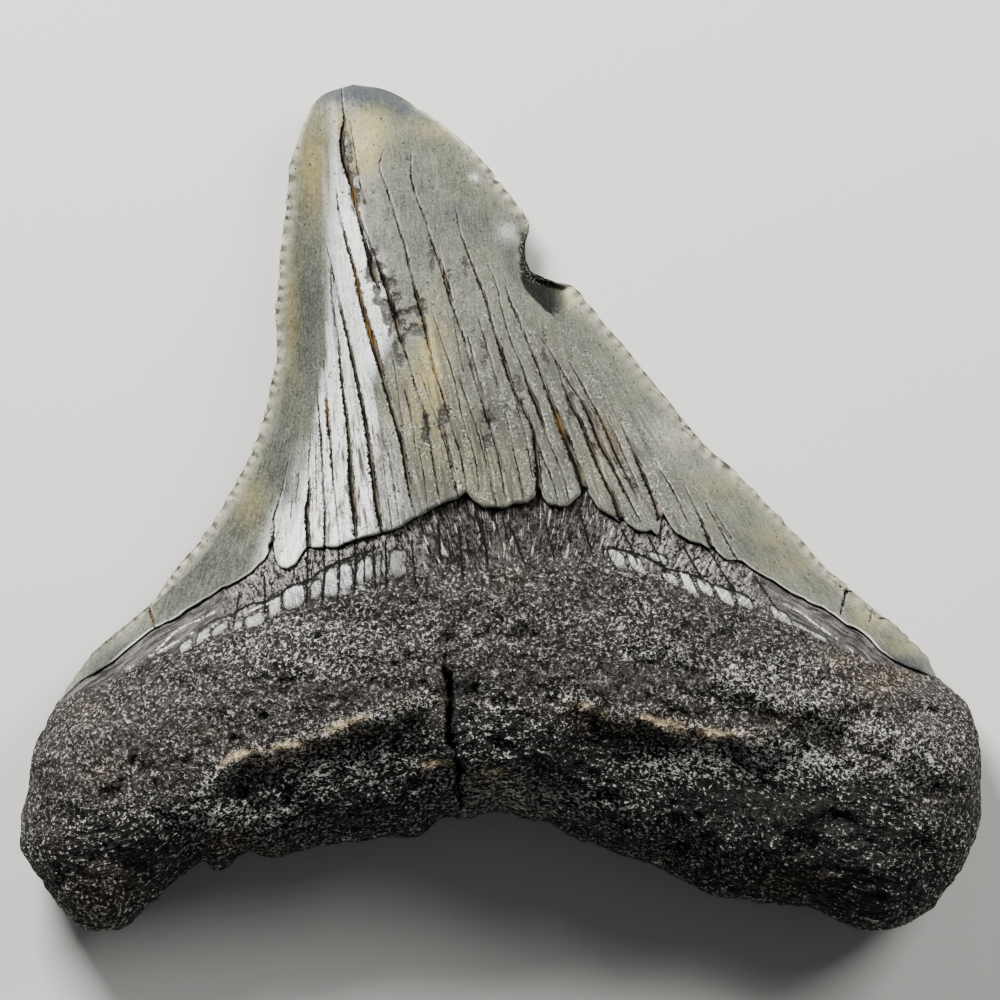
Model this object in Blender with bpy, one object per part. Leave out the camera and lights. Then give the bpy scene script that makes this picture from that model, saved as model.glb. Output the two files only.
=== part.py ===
"""A fossil megalodon tooth as one closed solid, lying on its flat labial face, lingual face up.

Frame: +Y points to the tip and +X to the right, as seen on the lingual face; +Z is up, out of that face.
The origin is on the ground under the middle of the tooth. Sizes and places below are in millimetres.

The plan outline is filled with triangles whose edges follow the cracks, the enamel's lower edge, the ridges
and the groove. Its points are then raised to the lingual face, and again to the labial face, and the two
faces share the outline, which is the widest line round the tooth.
"""
import bpy
import bmesh
import numpy as np
from mathutils.geometry import delaunay_2d_cdt

MM = 0.001

# Sizes that set the rest
BLADE_EDGE_HEIGHT = 2.2        # height of the cutting edges above the ground
TIP_EDGE_HEIGHT = 2.8
ROOT_EDGE_HEIGHT = 5.4         # height of the widest line round the root
BLADE_ROUNDING = 0.8           # how far in from the outline the walls reach
ROOT_ROUNDING = 5.6
LABIAL_BEVEL = 4.6             # how far in the cutting edges' labial slope reaches
LABIAL_ROUNDING = 4.2
SERRATION_PITCH = 1.05
SERRATION_DEPTH = 0.26
ENAMEL_THICKNESS = 0.65
ENAMEL_LIP = 0.4               # width of the enamel's sloping lower edge
LABIAL_ENAMEL = 0.35
CRACK_DEPTH = 0.55
CRACK_HALF_WIDTH = 0.32
GROOVE_DEPTH = 1.1
GROOVE_HALF_WIDTH = 0.6
LEDGE_CREST = 0.5
LEDGE_DROP = 1.2
LEDGE_REACH = 2.2              # from a ridge's crest to the foot of the drop
TILE_HEIGHT = 0.6
TILE_REACH = 0.9
LUMP_HEIGHT = 0.42
PORE_DEPTH = 0.5
WEATHERING = 0.38              # how far the root's outline wanders from its smooth line
SEED = 11
MERGE_DISTANCE = 0.001         # points closer than this are one
RIM_GAP = 0.3                  # least distance between points near the outline

# The outline, anticlockwise from the tip
LEFT_EDGE = [(-12.0, 34.3), (-14.5, 33.4), (-15.9, 31.5), (-16.7, 28.9), (-17.3, 25.0), (-17.7, 20.8),
             (-18.1, 16.0), (-18.1, 13.5), (-18.5, 10.6), (-19.6, 5.9), (-21.7, 1.2), (-24.1, -2.5),
             (-27.0, -6.0), (-28.4, -8.0)]
LEFT_CHIP = [(-28.4, -8.0), (-28.4, -8.6), (-28.2, -9.1), (-28.6, -8.9), (-29.0, -8.4)]
LEFT_HEEL = [(-29.0, -8.4), (-31.5, -10.6), (-33.1, -12.0), (-34.1, -13.5), (-35.7, -15.6)]
ROOT_OUTLINE = [(-35.7, -15.6), (-36.8, -17.5), (-37.8, -19.8), (-38.3, -22.2), (-38.7, -25.2), (-38.5, -27.5),
                (-37.6, -29.4), (-36.4, -31.4), (-35.2, -32.9), (-33.6, -33.9), (-31.6, -34.3), (-30.0, -33.6),
                (-28.6, -32.3), (-27.3, -30.9), (-25.4, -29.5), (-24.0, -28.5), (-23.0, -29.1), (-22.0, -29.0),
                (-21.1, -28.3), (-18.3, -28.0), (-14.6, -27.3), (-10.2, -27.0), (-6.7, -26.4), (-4.7, -25.4),
                (-2.4, -25.0), (0.3, -24.7), (3.2, -25.3), (5.0, -26.3), (8.5, -27.4), (11.3, -28.6),
                (13.9, -29.5), (16.4, -30.9), (19.8, -31.5), (23.4, -32.2), (26.7, -33.0), (29.2, -33.9),
                (32.2, -33.9), (34.2, -32.8), (35.9, -30.9), (37.3, -28.8), (38.2, -26.4), (38.7, -23.7),
                (38.7, -20.9), (38.4, -17.9), (37.6, -15.9), (35.4, -13.8)]
RIGHT_HEEL = [(35.4, -13.8), (34.7, -12.4), (33.4, -10.9), (31.5, -9.3), (28.5, -6.9)]
RIGHT_CHIP = [(28.5, -6.9), (27.9, -7.3), (28.1, -6.6)]
RIGHT_EDGE = [(28.1, -6.6), (24.7, -3.1), (21.8, -0.1), (19.6, 2.4), (17.1, 4.2), (15.3, 6.4), (11.5, 11.2),
              (8.1, 15.3), (6.4, 17.3)]
BITE_NOTCH = [(6.4, 17.3), (5.7, 18.0), (4.7, 18.3), (3.6, 18.6), (2.6, 19.3), (2.1, 20.4), (2.1, 21.6),
              (2.3, 22.5)]
TIP_EDGE = [(2.3, 22.5), (1.9, 23.6), (0.7, 25.2), (-2.7, 29.2), (-6.5, 32.3), (-9.9, 34.0), (-12.0, 34.3)]

# The smooth scoop beside the notch: its lip, from the notch round to the cutting edge
BITE_LIP = [(1.6, 22.2), (1.3, 20.5), (1.7, 18.4), (3.0, 16.6), (4.2, 15.5), (4.8, 15.6), (5.3, 16.8),
            (5.5, 18.0)]
BITE_SLOPE = 0.75
BITE_DEPTH = 1.3

# The lower edge of the lingual enamel: tongues that hang over the dark band below it
ENAMEL_LINE = [(-35.7, -15.6), (-34.5, -14.9), (-32.6, -13.3), (-30.3, -11.3), (-28.2, -9.9), (-26.4, -8.9),
               (-23.3, -6.9), (-21.4, -6.1), (-19.6, -4.8), (-18.7, -3.5), (-18.1, -4.0), (-17.4, -4.8),
               (-16.6, -4.8), (-15.9, -3.8), (-15.3, -3.2), (-13.5, -3.2), (-9.2, -2.0), (-7.2, -0.9),
               (-5.9, -0.7), (-4.8, 0.2), (-2.6, 1.1), (-1.7, 0.3), (-0.3, 0.0), (1.6, 0.4), (2.8, 1.2),
               (3.3, 0.7), (4.8, 0.1), (5.6, 0.3), (6.3, 1.1), (7.1, 1.1), (8.1, -0.4), (9.8, -1.1),
               (12.4, -2.2), (13.0, -1.0), (13.8, -1.8), (17.0, -3.4), (19.0, -4.3), (22.2, -6.1),
               (27.3, -8.9), (30.7, -11.4), (33.6, -13.0), (35.4, -13.8)]
LABIAL_ENAMEL_LINE = [(-35.7, -15.6), (-29.0, -14.4), (-20.0, -12.2), (-10.0, -10.9), (0.0, -10.7),
                      (10.0, -10.9), (20.0, -11.8), (29.0, -13.0), (35.4, -13.8)]

# Heights of the lingual face: one row for each station along Y, one height for each place across the tooth
ACROSS = [0.0, 0.06, 0.14, 0.25, 0.40, 0.55, 0.70, 0.84, 0.93, 1.0]
SECTIONS = [
    (-35.0, [10.0, 10.5, 10.8, 11.0, 11.2, 11.2, 11.0, 10.8, 10.5, 10.0]),
    (-28.6, [10.4, 11.3, 11.8, 12.2, 12.8, 12.9, 12.5, 12.1, 11.6, 10.6]),
    (-23.7, [10.6, 11.8, 12.6, 13.4, 14.4, 14.6, 14.2, 13.4, 12.4, 11.0]),
    (-19.7, [9.4, 11.4, 12.8, 14.4, 15.8, 16.0, 15.4, 14.0, 12.4, 10.4]),
    (-15.6, [4.6, 9.0, 12.2, 14.9, 16.5, 16.8, 16.0, 13.6, 10.3, 6.4]),
    (-12.4, [2.3, 7.0, 11.4, 14.8, 16.8, 17.0, 16.0, 12.8, 8.2, 2.8]),
    (-7.5, [2.2, 5.2, 10.0, 13.8, 15.9, 16.1, 15.0, 11.4, 6.2, 2.2]),
    (-2.7, [2.2, 4.4, 8.2, 12.6, 14.3, 14.5, 13.3, 9.6, 5.4, 2.2]),
    (2.2, [2.2, 4.0, 7.0, 11.6, 13.2, 13.4, 12.0, 8.2, 4.9, 2.2]),
    (8.7, [2.2, 3.6, 5.8, 10.3, 12.0, 12.1, 10.6, 7.0, 4.3, 2.2]),
    (16.8, [2.2, 3.3, 5.0, 8.6, 10.0, 10.0, 8.8, 6.0, 3.8, 2.2]),
    (24.9, [2.3, 3.1, 4.3, 6.4, 7.5, 7.4, 6.5, 4.8, 3.4, 2.3]),
    (28.9, [2.5, 3.1, 4.0, 5.2, 6.0, 6.0, 5.4, 4.3, 3.3, 2.5]),
    (32.2, [2.8, 3.2, 3.7, 4.2, 4.6, 4.6, 4.3, 3.8, 3.3, 2.8]),
    (34.4, [2.9, 3.1, 3.2, 3.4, 3.5, 3.5, 3.4, 3.2, 3.1, 2.9])]

# Cracks in the enamel, each running down from the tip's side, and how wide it is against the widest
CRACKS = [
    (1.0, [(-12.9, 33.6), (-12.6, 30.5), (-12.2, 27.5), (-11.1, 23.0), (-10.1, 19.4), (-9.0, 15.9),
           (-7.6, 12.3), (-6.3, 7.9), (-5.5, 4.2), (-4.9, 0.8)]),
    (1.0, [(-13.1, 24.9), (-12.6, 21.6), (-11.5, 18.3), (-10.9, 15.3), (-9.9, 12.1), (-8.7, 7.9), (-8.0, 3.8),
           (-7.1, -0.6)]),
    (0.8, [(-13.6, 20.2), (-13.0, 16.4), (-12.1, 12.6), (-11.3, 8.7), (-10.6, 4.2), (-9.8, -0.2),
           (-9.5, -1.6)]),
    (0.8, [(-13.5, 17.2), (-13.1, 13.1), (-12.5, 9.0), (-12.0, 3.8), (-11.7, 0.2), (-11.6, -2.3)]),
    (0.7, [(-14.6, 6.2), (-14.5, 2.6), (-14.2, 0.6), (-14.1, -2.6)]),
    (0.7, [(-15.4, 4.6), (-15.6, 0.6), (-15.5, -2.8)]),
    (0.9, [(-18.2, 0.6), (-18.4, -1.9), (-18.6, -3.4)]),
    (0.8, [(-9.7, 28.0), (-9.4, 26.1), (-8.4, 23.3), (-7.6, 19.9), (-6.5, 16.0), (-5.7, 13.1), (-4.9, 9.9),
           (-4.3, 6.2), (-3.1, 2.6), (-2.6, 0.9)]),
    (1.0, [(-7.2, 28.1), (-7.1, 26.1), (-6.1, 22.6), (-4.8, 19.4), (-3.6, 15.7), (-2.5, 12.2), (-1.5, 8.5),
           (-0.7, 5.0), (0.1, 2.4)]),
    (0.9, [(-3.5, 23.7), (-2.5, 20.3), (-1.3, 16.8), (-0.4, 13.5), (0.9, 10.3), (2.2, 7.1), (3.6, 4.2),
           (5.1, 1.2)]),
    (0.6, [(-0.9, 19.6), (0.2, 16.4), (1.2, 13.1), (2.2, 9.9), (3.3, 7.1)]),
    (1.0, [(0.4, 17.8), (1.7, 14.8), (2.8, 11.9), (4.0, 8.7), (5.2, 5.4), (6.4, 2.6), (6.7, 1.4)]),
    (0.9, [(3.3, 13.5), (4.8, 10.9), (6.0, 7.9), (7.4, 4.6), (8.8, 1.8), (9.7, -0.9)]),
    (0.7, [(6.4, 10.7), (7.9, 7.5), (9.3, 4.2), (10.6, 1.0), (11.5, -1.2)]),
    (0.9, [(9.8, 6.6), (11.0, 4.0), (12.1, 1.4), (12.8, -0.9)]),
    (0.6, [(14.7, 1.7), (15.9, -1.0), (16.9, -3.2)])]

# Ridges of the root, from left to right; the face drops below each of them
LEDGES = [[(-24.5, -23.0), (-21.6, -20.4), (-18.3, -18.9), (-13.0, -17.1), (-5.6, -14.9)],
          [(4.9, -14.9), (11.3, -17.0), (15.2, -17.7), (20.1, -18.8), (29.0, -17.8), (30.9, -18.8),
           (36.3, -20.4)],
          [(14.5, -12.2), (22.1, -15.3), (29.9, -16.9)]]
NUTRIENT_GROOVE = [(-4.2, -10.4), (-4.5, -12.7), (-4.0, -14.3), (-4.2, -17.5), (-3.6, -20.1), (-3.5, -21.9),
                   (-2.9, -24.0)]
# Where the last glaze of the dark band ends in a row of raised tiles
TILE_LINES = [[(-25.1, -10.9), (-22.3, -9.2), (-19.9, -8.3), (-16.5, -7.0), (-13.4, -5.9), (-8.9, -5.9)],
              [(9.3, -4.1), (12.0, -4.8), (15.0, -5.9), (18.0, -7.1), (22.6, -8.9), (25.0, -10.2)]]
TILE_PITCH = 1.5
WHORLS = [(11.3, -10.0), (-17.8, -11.6)]
WHORL_RADIUS = 1.4
WHORL_HEIGHT = 0.35


def smooth(knots, values, at):
    """Cubic curve through `values` at the rising `knots`, read at each `at`. Values may differ by point."""
    knots = np.asarray(knots, float)
    values = np.asarray(values, float)
    if values.ndim == 1:
        values = np.repeat(values[:, None], len(at), axis=1)
    slopes = np.gradient(values, knots, axis=0)
    at = np.clip(at, knots[0], knots[-1])
    low = np.clip(np.searchsorted(knots, at, side="right") - 1, 0, len(knots) - 2)
    span = knots[low + 1] - knots[low]
    part = (at - knots[low]) / span
    point = np.arange(len(at))
    start, end = values[low, point], values[low + 1, point]
    leave, arrive = slopes[low, point] * span, slopes[low + 1, point] * span
    bend = 3 * (end - start) - 2 * leave - arrive
    twist = 2 * (start - end) + leave + arrive
    return start + part * (leave + part * (bend + part * twist))


def ease(low, high, value):
    """0 below low, 1 above high and a smooth rise between; low may be the greater of the two."""
    part = np.clip((value - low) / (high - low), 0, 1)
    return part * part * (3 - 2 * part)


def spline(points, step):
    """Smooth line through hand-set points, with a point about every step."""
    points = np.array(points)
    knots = np.concatenate([[0], np.cumsum(np.linalg.norm(np.diff(points, axis=0), axis=1))])
    at = np.linspace(0, knots[-1], max(2, round(knots[-1] / step)) + 1)
    return np.stack([smooth(knots, points[:, axis], at) for axis in (0, 1)], axis=1)


def right_hand(line):
    """Unit vectors to the right of a line's direction, one for each of its points."""
    ahead = np.gradient(line, axis=0)
    ahead /= np.linalg.norm(ahead, axis=1)[:, None]
    return np.stack([ahead[:, 1], -ahead[:, 0]], axis=1)


def inside(loop, places):
    """True for places within a closed loop of points: an even-odd count of the edges to their right."""
    start, end = loop, np.roll(loop, -1, axis=0)
    x, y = places[:, :1], places[:, 1:]
    spans = (start[:, 1] > y) != (end[:, 1] > y)
    rise = np.where(end[:, 1] == start[:, 1], 1, end[:, 1] - start[:, 1])
    crossing = start[:, 0] + (y - start[:, 1]) / rise * (end[:, 0] - start[:, 0])
    return (spans & (x < crossing)).sum(axis=1) % 2 == 1


def nearest(line, places):
    """Distance from each place to a line, how far along the line that is, and its side: +1 is left."""
    step = np.diff(line, axis=0)
    length = np.linalg.norm(step, axis=1)
    offset = places[:, None, :] - line[None, :-1]
    part = np.clip((offset * step).sum(axis=2) / length ** 2, 0, 1)
    distance = np.linalg.norm(offset - part[..., None] * step, axis=2)
    best = distance.argmin(axis=1)
    row = np.arange(len(places))
    along = np.concatenate([[0], np.cumsum(length)])[best] + part[row, best] * length[best]
    side = step[best, 0] * offset[row, best, 1] - step[best, 1] * offset[row, best, 0]
    return distance[row, best], along, np.sign(side)


def serrated(points):
    """A cutting edge whose every second point stands out as a serration, worn away near the tip."""
    line = spline(points, SERRATION_PITCH / 2)
    index = np.arange(len(line))
    whole = np.clip(np.minimum(index, index[::-1]) / 3, 0, 1)
    worn = np.random.default_rng(len(line)).uniform(0.35, 1, len(line))
    tooth = SERRATION_DEPTH * (index % 2) * whole * worn * ease(33, 24, line[:, 1])
    return line + right_hand(line) * tooth[:, None]


def outline_points():
    """The whole outline, anticlockwise, with no point twice."""
    stretches = [serrated(LEFT_EDGE), np.array(LEFT_CHIP), serrated(LEFT_HEEL), spline(ROOT_OUTLINE, 1.15),
                 serrated(RIGHT_HEEL), np.array(RIGHT_CHIP), serrated(RIGHT_EDGE), spline(BITE_NOTCH, 0.55),
                 serrated(TIP_EDGE)]
    return np.vstack([stretch[:-1] for stretch in stretches])


OUTLINE = outline_points()
CLOSED_OUTLINE = np.vstack([OUTLINE, OUTLINE[:1]])
ENAMEL = spline(ENAMEL_LINE, 0.9)
LABIAL_LINE = spline(LABIAL_ENAMEL_LINE, 2.2)
# The sides without the notch and chips, from the tip down, to measure places across the tooth
LEFT_SIDE = spline(LEFT_EDGE + LEFT_HEEL[1:] + ROOT_OUTLINE[1:5], 1.0)
RIGHT_SIDE = spline(TIP_EDGE[::-1] + RIGHT_EDGE[::-1] + RIGHT_HEEL[::-1] + ROOT_OUTLINE[-2:-6:-1], 1.0)


def lumps(places, size, seed):
    """Value noise, from -1 to 1: seeded values on a square lattice of the given size, joined smoothly."""
    lattice = np.random.default_rng(seed).uniform(-1, 1, (64, 64))
    cell = places / size + 32
    low = np.floor(cell).astype(int) % 63
    part = ease(0, 1, cell - np.floor(cell))
    (i, j), (a, b) = low.T, part.T
    near = lattice[i, j] * (1 - a) + lattice[i + 1, j] * a
    far = lattice[i, j + 1] * (1 - a) + lattice[i + 1, j + 1] * a
    return near * (1 - b) + far * b


def weathered(places):
    """Plan places pushed a little to and fro over the root, which roughens its outline and walls."""
    shift = np.stack([lumps(places, 2.3, SEED + 4), lumps(places, 2.3, SEED + 5)], axis=1)
    return places + WEATHERING * shift * in_root(places)[:, None]


def body_height(places):
    """The lingual face's main form: each section read across, then the sections joined along Y."""
    x, y = places.T
    left = np.interp(-y, -LEFT_SIDE[:, 1], LEFT_SIDE[:, 0])
    right = np.interp(-y, -RIGHT_SIDE[:, 1], RIGHT_SIDE[:, 0])
    across = np.clip((x - left) / np.maximum(right - left, 0.1), 0, 1)
    rows = np.array([smooth(ACROSS, heights, across) for _, heights in SECTIONS])
    return smooth([station for station, _ in SECTIONS], rows, y)


def inset_of(places):
    """How far each place is inside the outline, and exactly 0 for the outline's own points."""
    inset, _, _ = nearest(CLOSED_OUTLINE, places)
    return np.where(inset < MERGE_DISTANCE, 0, inset)


def above(line, places):
    """Signed distance to an enamel line that runs from left to right: positive on the crown's side."""
    loop = np.vstack([line, [(60, 60), (-60, 60)]])
    distance, _, _ = nearest(line, places)
    return np.where(inside(loop, places), distance, -distance)


def in_root(places):
    """0 on the crown's sides and 1 on the root's, eased past the corners where the enamel ends."""
    return ease(-14.0, -19.5, places[:, 1])


def edge_height(places):
    """Height of the outline: the thin cutting edges, and half-way up the root."""
    root = in_root(places)
    blade = BLADE_EDGE_HEIGHT + (TIP_EDGE_HEIGHT - BLADE_EDGE_HEIGHT) * ease(22, 33, places[:, 1])
    return blade * (1 - root) + ROOT_EDGE_HEIGHT * root


def quarter_round(distance, reach):
    """Profile of a quarter ellipse: 0 at the outline, 1 at the reach and beyond."""
    return np.sqrt(1 - (1 - np.clip(distance / reach, 0, 1)) ** 2)


def grooves(places):
    """Depth of the cracks and of the nutrient groove: V-shaped, fading out at their ends."""
    depth = np.zeros(len(places))
    for share, points in CRACKS:
        line = spline(points, 1.6)
        away, along, _ = nearest(line, places)
        end = np.linalg.norm(np.diff(line, axis=0), axis=1).sum()
        taper = np.clip(along / 3, 0.2, 1) * np.clip((end - along) / 1.2, 0.3, 1)
        vee = np.clip(1 - away / (CRACK_HALF_WIDTH * share), 0, 1)
        depth = np.maximum(depth, CRACK_DEPTH * share * taper * vee)
    away, along, _ = nearest(spline(NUTRIENT_GROOVE, 1.2), places)
    taper = np.clip(along / 4, 0.25, 1)
    return np.maximum(depth, GROOVE_DEPTH * taper * np.clip(1 - away / GROOVE_HALF_WIDTH, 0, 1))


def ledges(places):
    """A low crest along each ridge, and a drop of the face below it that heals further down."""
    height = np.zeros(len(places))
    for points, share in zip(LEDGES, (1.0, 1.0, 0.6)):
        line = spline(points, 1.5)
        away, along, side = nearest(line, places)
        end = np.linalg.norm(np.diff(line, axis=0), axis=1).sum()
        taper = ease(0, 3, along) * ease(0, 3, end - along)
        crest = LEDGE_CREST * np.exp(-(away / LEDGE_REACH) ** 2)
        drop = LEDGE_DROP * ease(0, LEDGE_REACH, away) * ease(9, 3, away) * (side < 0)
        height += share * taper * (crest - drop)
    return height


def hollow(places):
    """Depth of the scoop beside the notch: it slopes down from its lip to a flat bed."""
    lip = np.array(BITE_LIP)
    away, _, _ = nearest(lip, places)
    loop = np.vstack([lip, [(6.0, 20.5), (3.0, 22.5)]])
    depth = np.minimum(BITE_SLOPE * away, BITE_DEPTH)
    return np.where(inside(loop, places), depth, 0) * ease(0, 0.6, inset_of(places))


def tiles(places):
    """Raised tiles along the dark band's lower edge: bumps that repeat along the two tile lines."""
    height = np.zeros(len(places))
    for points in TILE_LINES:
        away, along, _ = nearest(spline(points, TILE_PITCH / 2), places)
        bump = 0.35 + 0.65 * np.cos(np.pi * along / TILE_PITCH) ** 2
        height = np.maximum(height, TILE_HEIGHT * bump * ease(TILE_REACH, 0, away))
    return height


def whorls(places):
    """Ring-shaped swellings of the root's surface."""
    height = np.zeros(len(places))
    for centre in WHORLS:
        radius = np.linalg.norm(places - np.array(centre), axis=1)
        height += WHORL_HEIGHT * np.exp(-((radius - WHORL_RADIUS) / 0.5) ** 2)
    return height


def lingual_height(places):
    """The upper face: main form, rounded walls, enamel step, cracks, ledges, tiles, lumps and pores."""
    inset = inset_of(places)
    crown = above(ENAMEL, places)
    enamel = np.clip(crown / ENAMEL_LIP, 0, 1)
    root = in_root(places)
    reach = BLADE_ROUNDING * (1 - root) + ROOT_ROUNDING * root
    edge = edge_height(places)
    form = edge + (body_height(places) - edge) * quarter_round(inset, reach)
    rough = LUMP_HEIGHT * lumps(places, 1.5, SEED) + LUMP_HEIGHT * lumps(places, 3.7, SEED + 1)
    pores = PORE_DEPTH * ease(0.45, 0.8, lumps(places, 2.1, SEED + 2))
    relief = ENAMEL_THICKNESS * enamel - grooves(places) + tiles(places)
    relief += ease(-0.6, -3.0, crown) * (ledges(places) + whorls(places) + rough - pores)
    return form - hollow(places) + relief * ease(0, 1.2, inset)


def labial_height(places):
    """The lower face: flat on the ground, with bevelled edges, a low hollow and the enamel's thin step."""
    inset = inset_of(places)
    crown = above(LABIAL_LINE, places)
    root = in_root(places)
    edge = edge_height(places)
    blade = edge * (1 - np.clip(inset / LABIAL_BEVEL, 0, 1)) ** 2
    wall = edge * (1 - quarter_round(inset, LABIAL_ROUNDING))
    x, y = places.T
    dip = 1.1 * np.exp(-(x / 15) ** 2 - ((y + 20) / 8) ** 2) - 0.12
    bare = np.clip(-crown / ENAMEL_LIP, 0, 1)
    step = LABIAL_ENAMEL * bare * ease(-12, -3, crown)
    rough = bare * LUMP_HEIGHT * lumps(places, 2.6, SEED + 3)
    return np.maximum(0, blade * (1 - root) + wall * root + (dip + step + rough) * ease(0, 2, inset))


def crack_lines():
    """Each crack as a centre line and two flanks that meet it at its upper end."""
    lines = []
    for share, points in CRACKS:
        line = spline(points, 1.6)
        taper = np.clip(np.arange(len(line)) / 2, 0, 1)[:, None] * CRACK_HALF_WIDTH * share
        flank = right_hand(line) * taper
        lines += [line, line + flank, line - flank]
    return lines


def groove_lines():
    """The nutrient groove's bed and its two shoulders."""
    line = spline(NUTRIENT_GROOVE, 1.2)
    flank = right_hand(line) * GROOVE_HALF_WIDTH
    return [line, line + flank, line - flank]


def ledge_lines():
    """Each ridge's crest and the foot of the drop below it."""
    crests = [spline(points, 1.5) for points in LEDGES]
    return [line for crest in crests for line in (crest, crest + right_hand(crest) * LEDGE_REACH)]


def tile_lines():
    """Each row of tiles as its crest and the two feet of its sides."""
    crests = [spline(points, TILE_PITCH / 2) for points in TILE_LINES]
    return [crest + right_hand(crest) * side for crest in crests for side in (-TILE_REACH, 0, TILE_REACH)]


def lip_lines(line, width):
    """The enamel's edge and the line where its full thickness starts, without the ends at the outline."""
    lines = [line, line - right_hand(line) * width]
    return [part[nearest(CLOSED_OUTLINE, part)[0] > 0.7] for part in lines]


def rim_points(insets):
    """Points that follow the outline at the given distances inside it."""
    inward = -right_hand(np.vstack([OUTLINE[-1:], CLOSED_OUTLINE]))[1:-1]
    rings = []
    for inset, every in insets:
        ring = (OUTLINE + inward * inset)[::every]
        rings.append(ring[nearest(CLOSED_OUTLINE, ring)[0] > 0.5 * inset])
    return np.vstack(rings)


def fill_points(spacing, wanted):
    """A staggered grid over the plan, kept where the `wanted` test allows it."""
    rows = np.arange(-35, 35, spacing * 0.87)
    columns = np.arange(-40, 40, spacing)
    x, y = np.meshgrid(columns, rows)
    x = x + np.where(np.arange(len(rows)) % 2, spacing / 2, 0)[:, None]
    places = np.stack([x.ravel(), y.ravel()], axis=1)
    places += np.random.default_rng(SEED).uniform(-0.12, 0.12, places.shape) * spacing
    return places[wanted(places)]


def spaced(places, gap):
    """The places that keep at least the gap to every earlier one."""
    kept = [places[0]]
    for place in places[1:]:
        if np.linalg.norm(np.array(kept) - place, axis=1).min() > gap:
            kept.append(place)
    return np.array(kept)


def clear(places, lines, gap):
    """The places inside the outline that keep at least the gap to every line."""
    for line in lines:
        places = places[nearest(line, places)[0] > gap]
    return places[inside(OUTLINE, places)]


def face(lines, rim, fill, gap, height):
    """Triangles over the plan with the lines as edges, raised by the height function, in metres."""
    rim = spaced(clear(rim, lines, RIM_GAP), RIM_GAP)
    fill = clear(fill, lines, gap)
    fill = fill[np.linalg.norm(fill[:, None] - rim[None], axis=2).min(axis=1) > gap]
    edges = [(i, (i + 1) % len(OUTLINE)) for i in range(len(OUTLINE))]
    first = len(OUTLINE)
    for line in lines:
        edges += [(first + i, first + i + 1) for i in range(len(line) - 1)]
        first += len(line)
    places = np.vstack([OUTLINE, *lines, rim, fill]).tolist()
    plan, _, triangles, *_ = delaunay_2d_cdt(places, edges, [], 0, MERGE_DISTANCE, False)
    plan = np.array([tuple(place) for place in plan])
    triangles = np.array([tuple(corners) for corners in triangles])
    triangles = triangles[inside(OUTLINE, plan[triangles].mean(axis=1))]
    return np.column_stack([weathered(plan), height(plan)]) * MM, triangles


def finish_material(name, colour, roughness):
    """A plain Principled material."""
    material = bpy.data.materials.new(name)
    material.use_nodes = True
    shader = material.node_tree.nodes["Principled BSDF"]
    shader.inputs["Base Color"].default_value = (*colour, 1)
    shader.inputs["Roughness"].default_value = roughness
    return material


def make_tooth():
    """Join the lingual and labial faces along the outline into one closed solid."""
    lines = crack_lines() + groove_lines() + ledge_lines() + lip_lines(ENAMEL, ENAMEL_LIP)
    lines += tile_lines() + [np.array(BITE_LIP[1:-1])]
    crown = fill_points(2.3, lambda places: places[:, 1] > -14)
    root = fill_points(1.15, lambda places: above(ENAMEL, places) < -0.5)
    rim = rim_points([(0.5, 1), (1.5, 2), (3.2, 3)])
    upper, upper_faces = face(lines, rim, np.vstack([root, crown]), 0.6, lingual_height)
    rim = rim_points([(0.5, 1), (1.8, 3), (4.3, 4)])
    fill = fill_points(2.6, lambda places: inside(OUTLINE, places))
    lower, lower_faces = face(lip_lines(LABIAL_LINE, -ENAMEL_LIP), rim, fill, 1.0, labial_height)
    mesh = bpy.data.meshes.new("tooth")
    triangles = np.vstack([upper_faces, len(upper) + lower_faces[:, ::-1]])
    mesh.from_pydata(np.vstack([upper, lower]), [], triangles)
    join_outline(mesh)
    return mesh


def join_outline(mesh):
    """Merge the outline's two copies, one from each face."""
    work = bmesh.new()
    work.from_mesh(mesh)
    bmesh.ops.remove_doubles(work, verts=work.verts, dist=MERGE_DISTANCE * MM)
    work.to_mesh(mesh)
    work.free()


def colour_faces(mesh):
    """Give the enamel of both faces its own lighter material."""
    mesh.materials.append(finish_material("fossil_root", (0.035, 0.031, 0.028), 0.75))
    mesh.materials.append(finish_material("fossil_enamel", (0.30, 0.31, 0.28), 0.35))
    for polygon in mesh.polygons:
        place = np.array([polygon.center[:2]]) / MM
        line = ENAMEL if polygon.normal.z > 0 else LABIAL_LINE
        polygon.material_index = int(above(line, place)[0] > 0)


def main():
    for item in list(bpy.data.objects):
        bpy.data.objects.remove(item)
    mesh = make_tooth()
    colour_faces(mesh)
    mesh.shade_smooth()
    mesh.set_sharp_from_angle(angle=1.0)
    tooth = bpy.data.objects.new("tooth", mesh)
    bpy.context.collection.objects.link(tooth)


main()
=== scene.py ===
"""Looks of the fossil megalodon tooth: an enamel crown over a root with its dark band, on a plain stage.

Frame: +Y points to the tip, +X to the right as seen on the lingual face, +Z up out of that face; the tooth
lies on its flat labial face. Places in the lists below are plan places in millimetres.
"""

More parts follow.
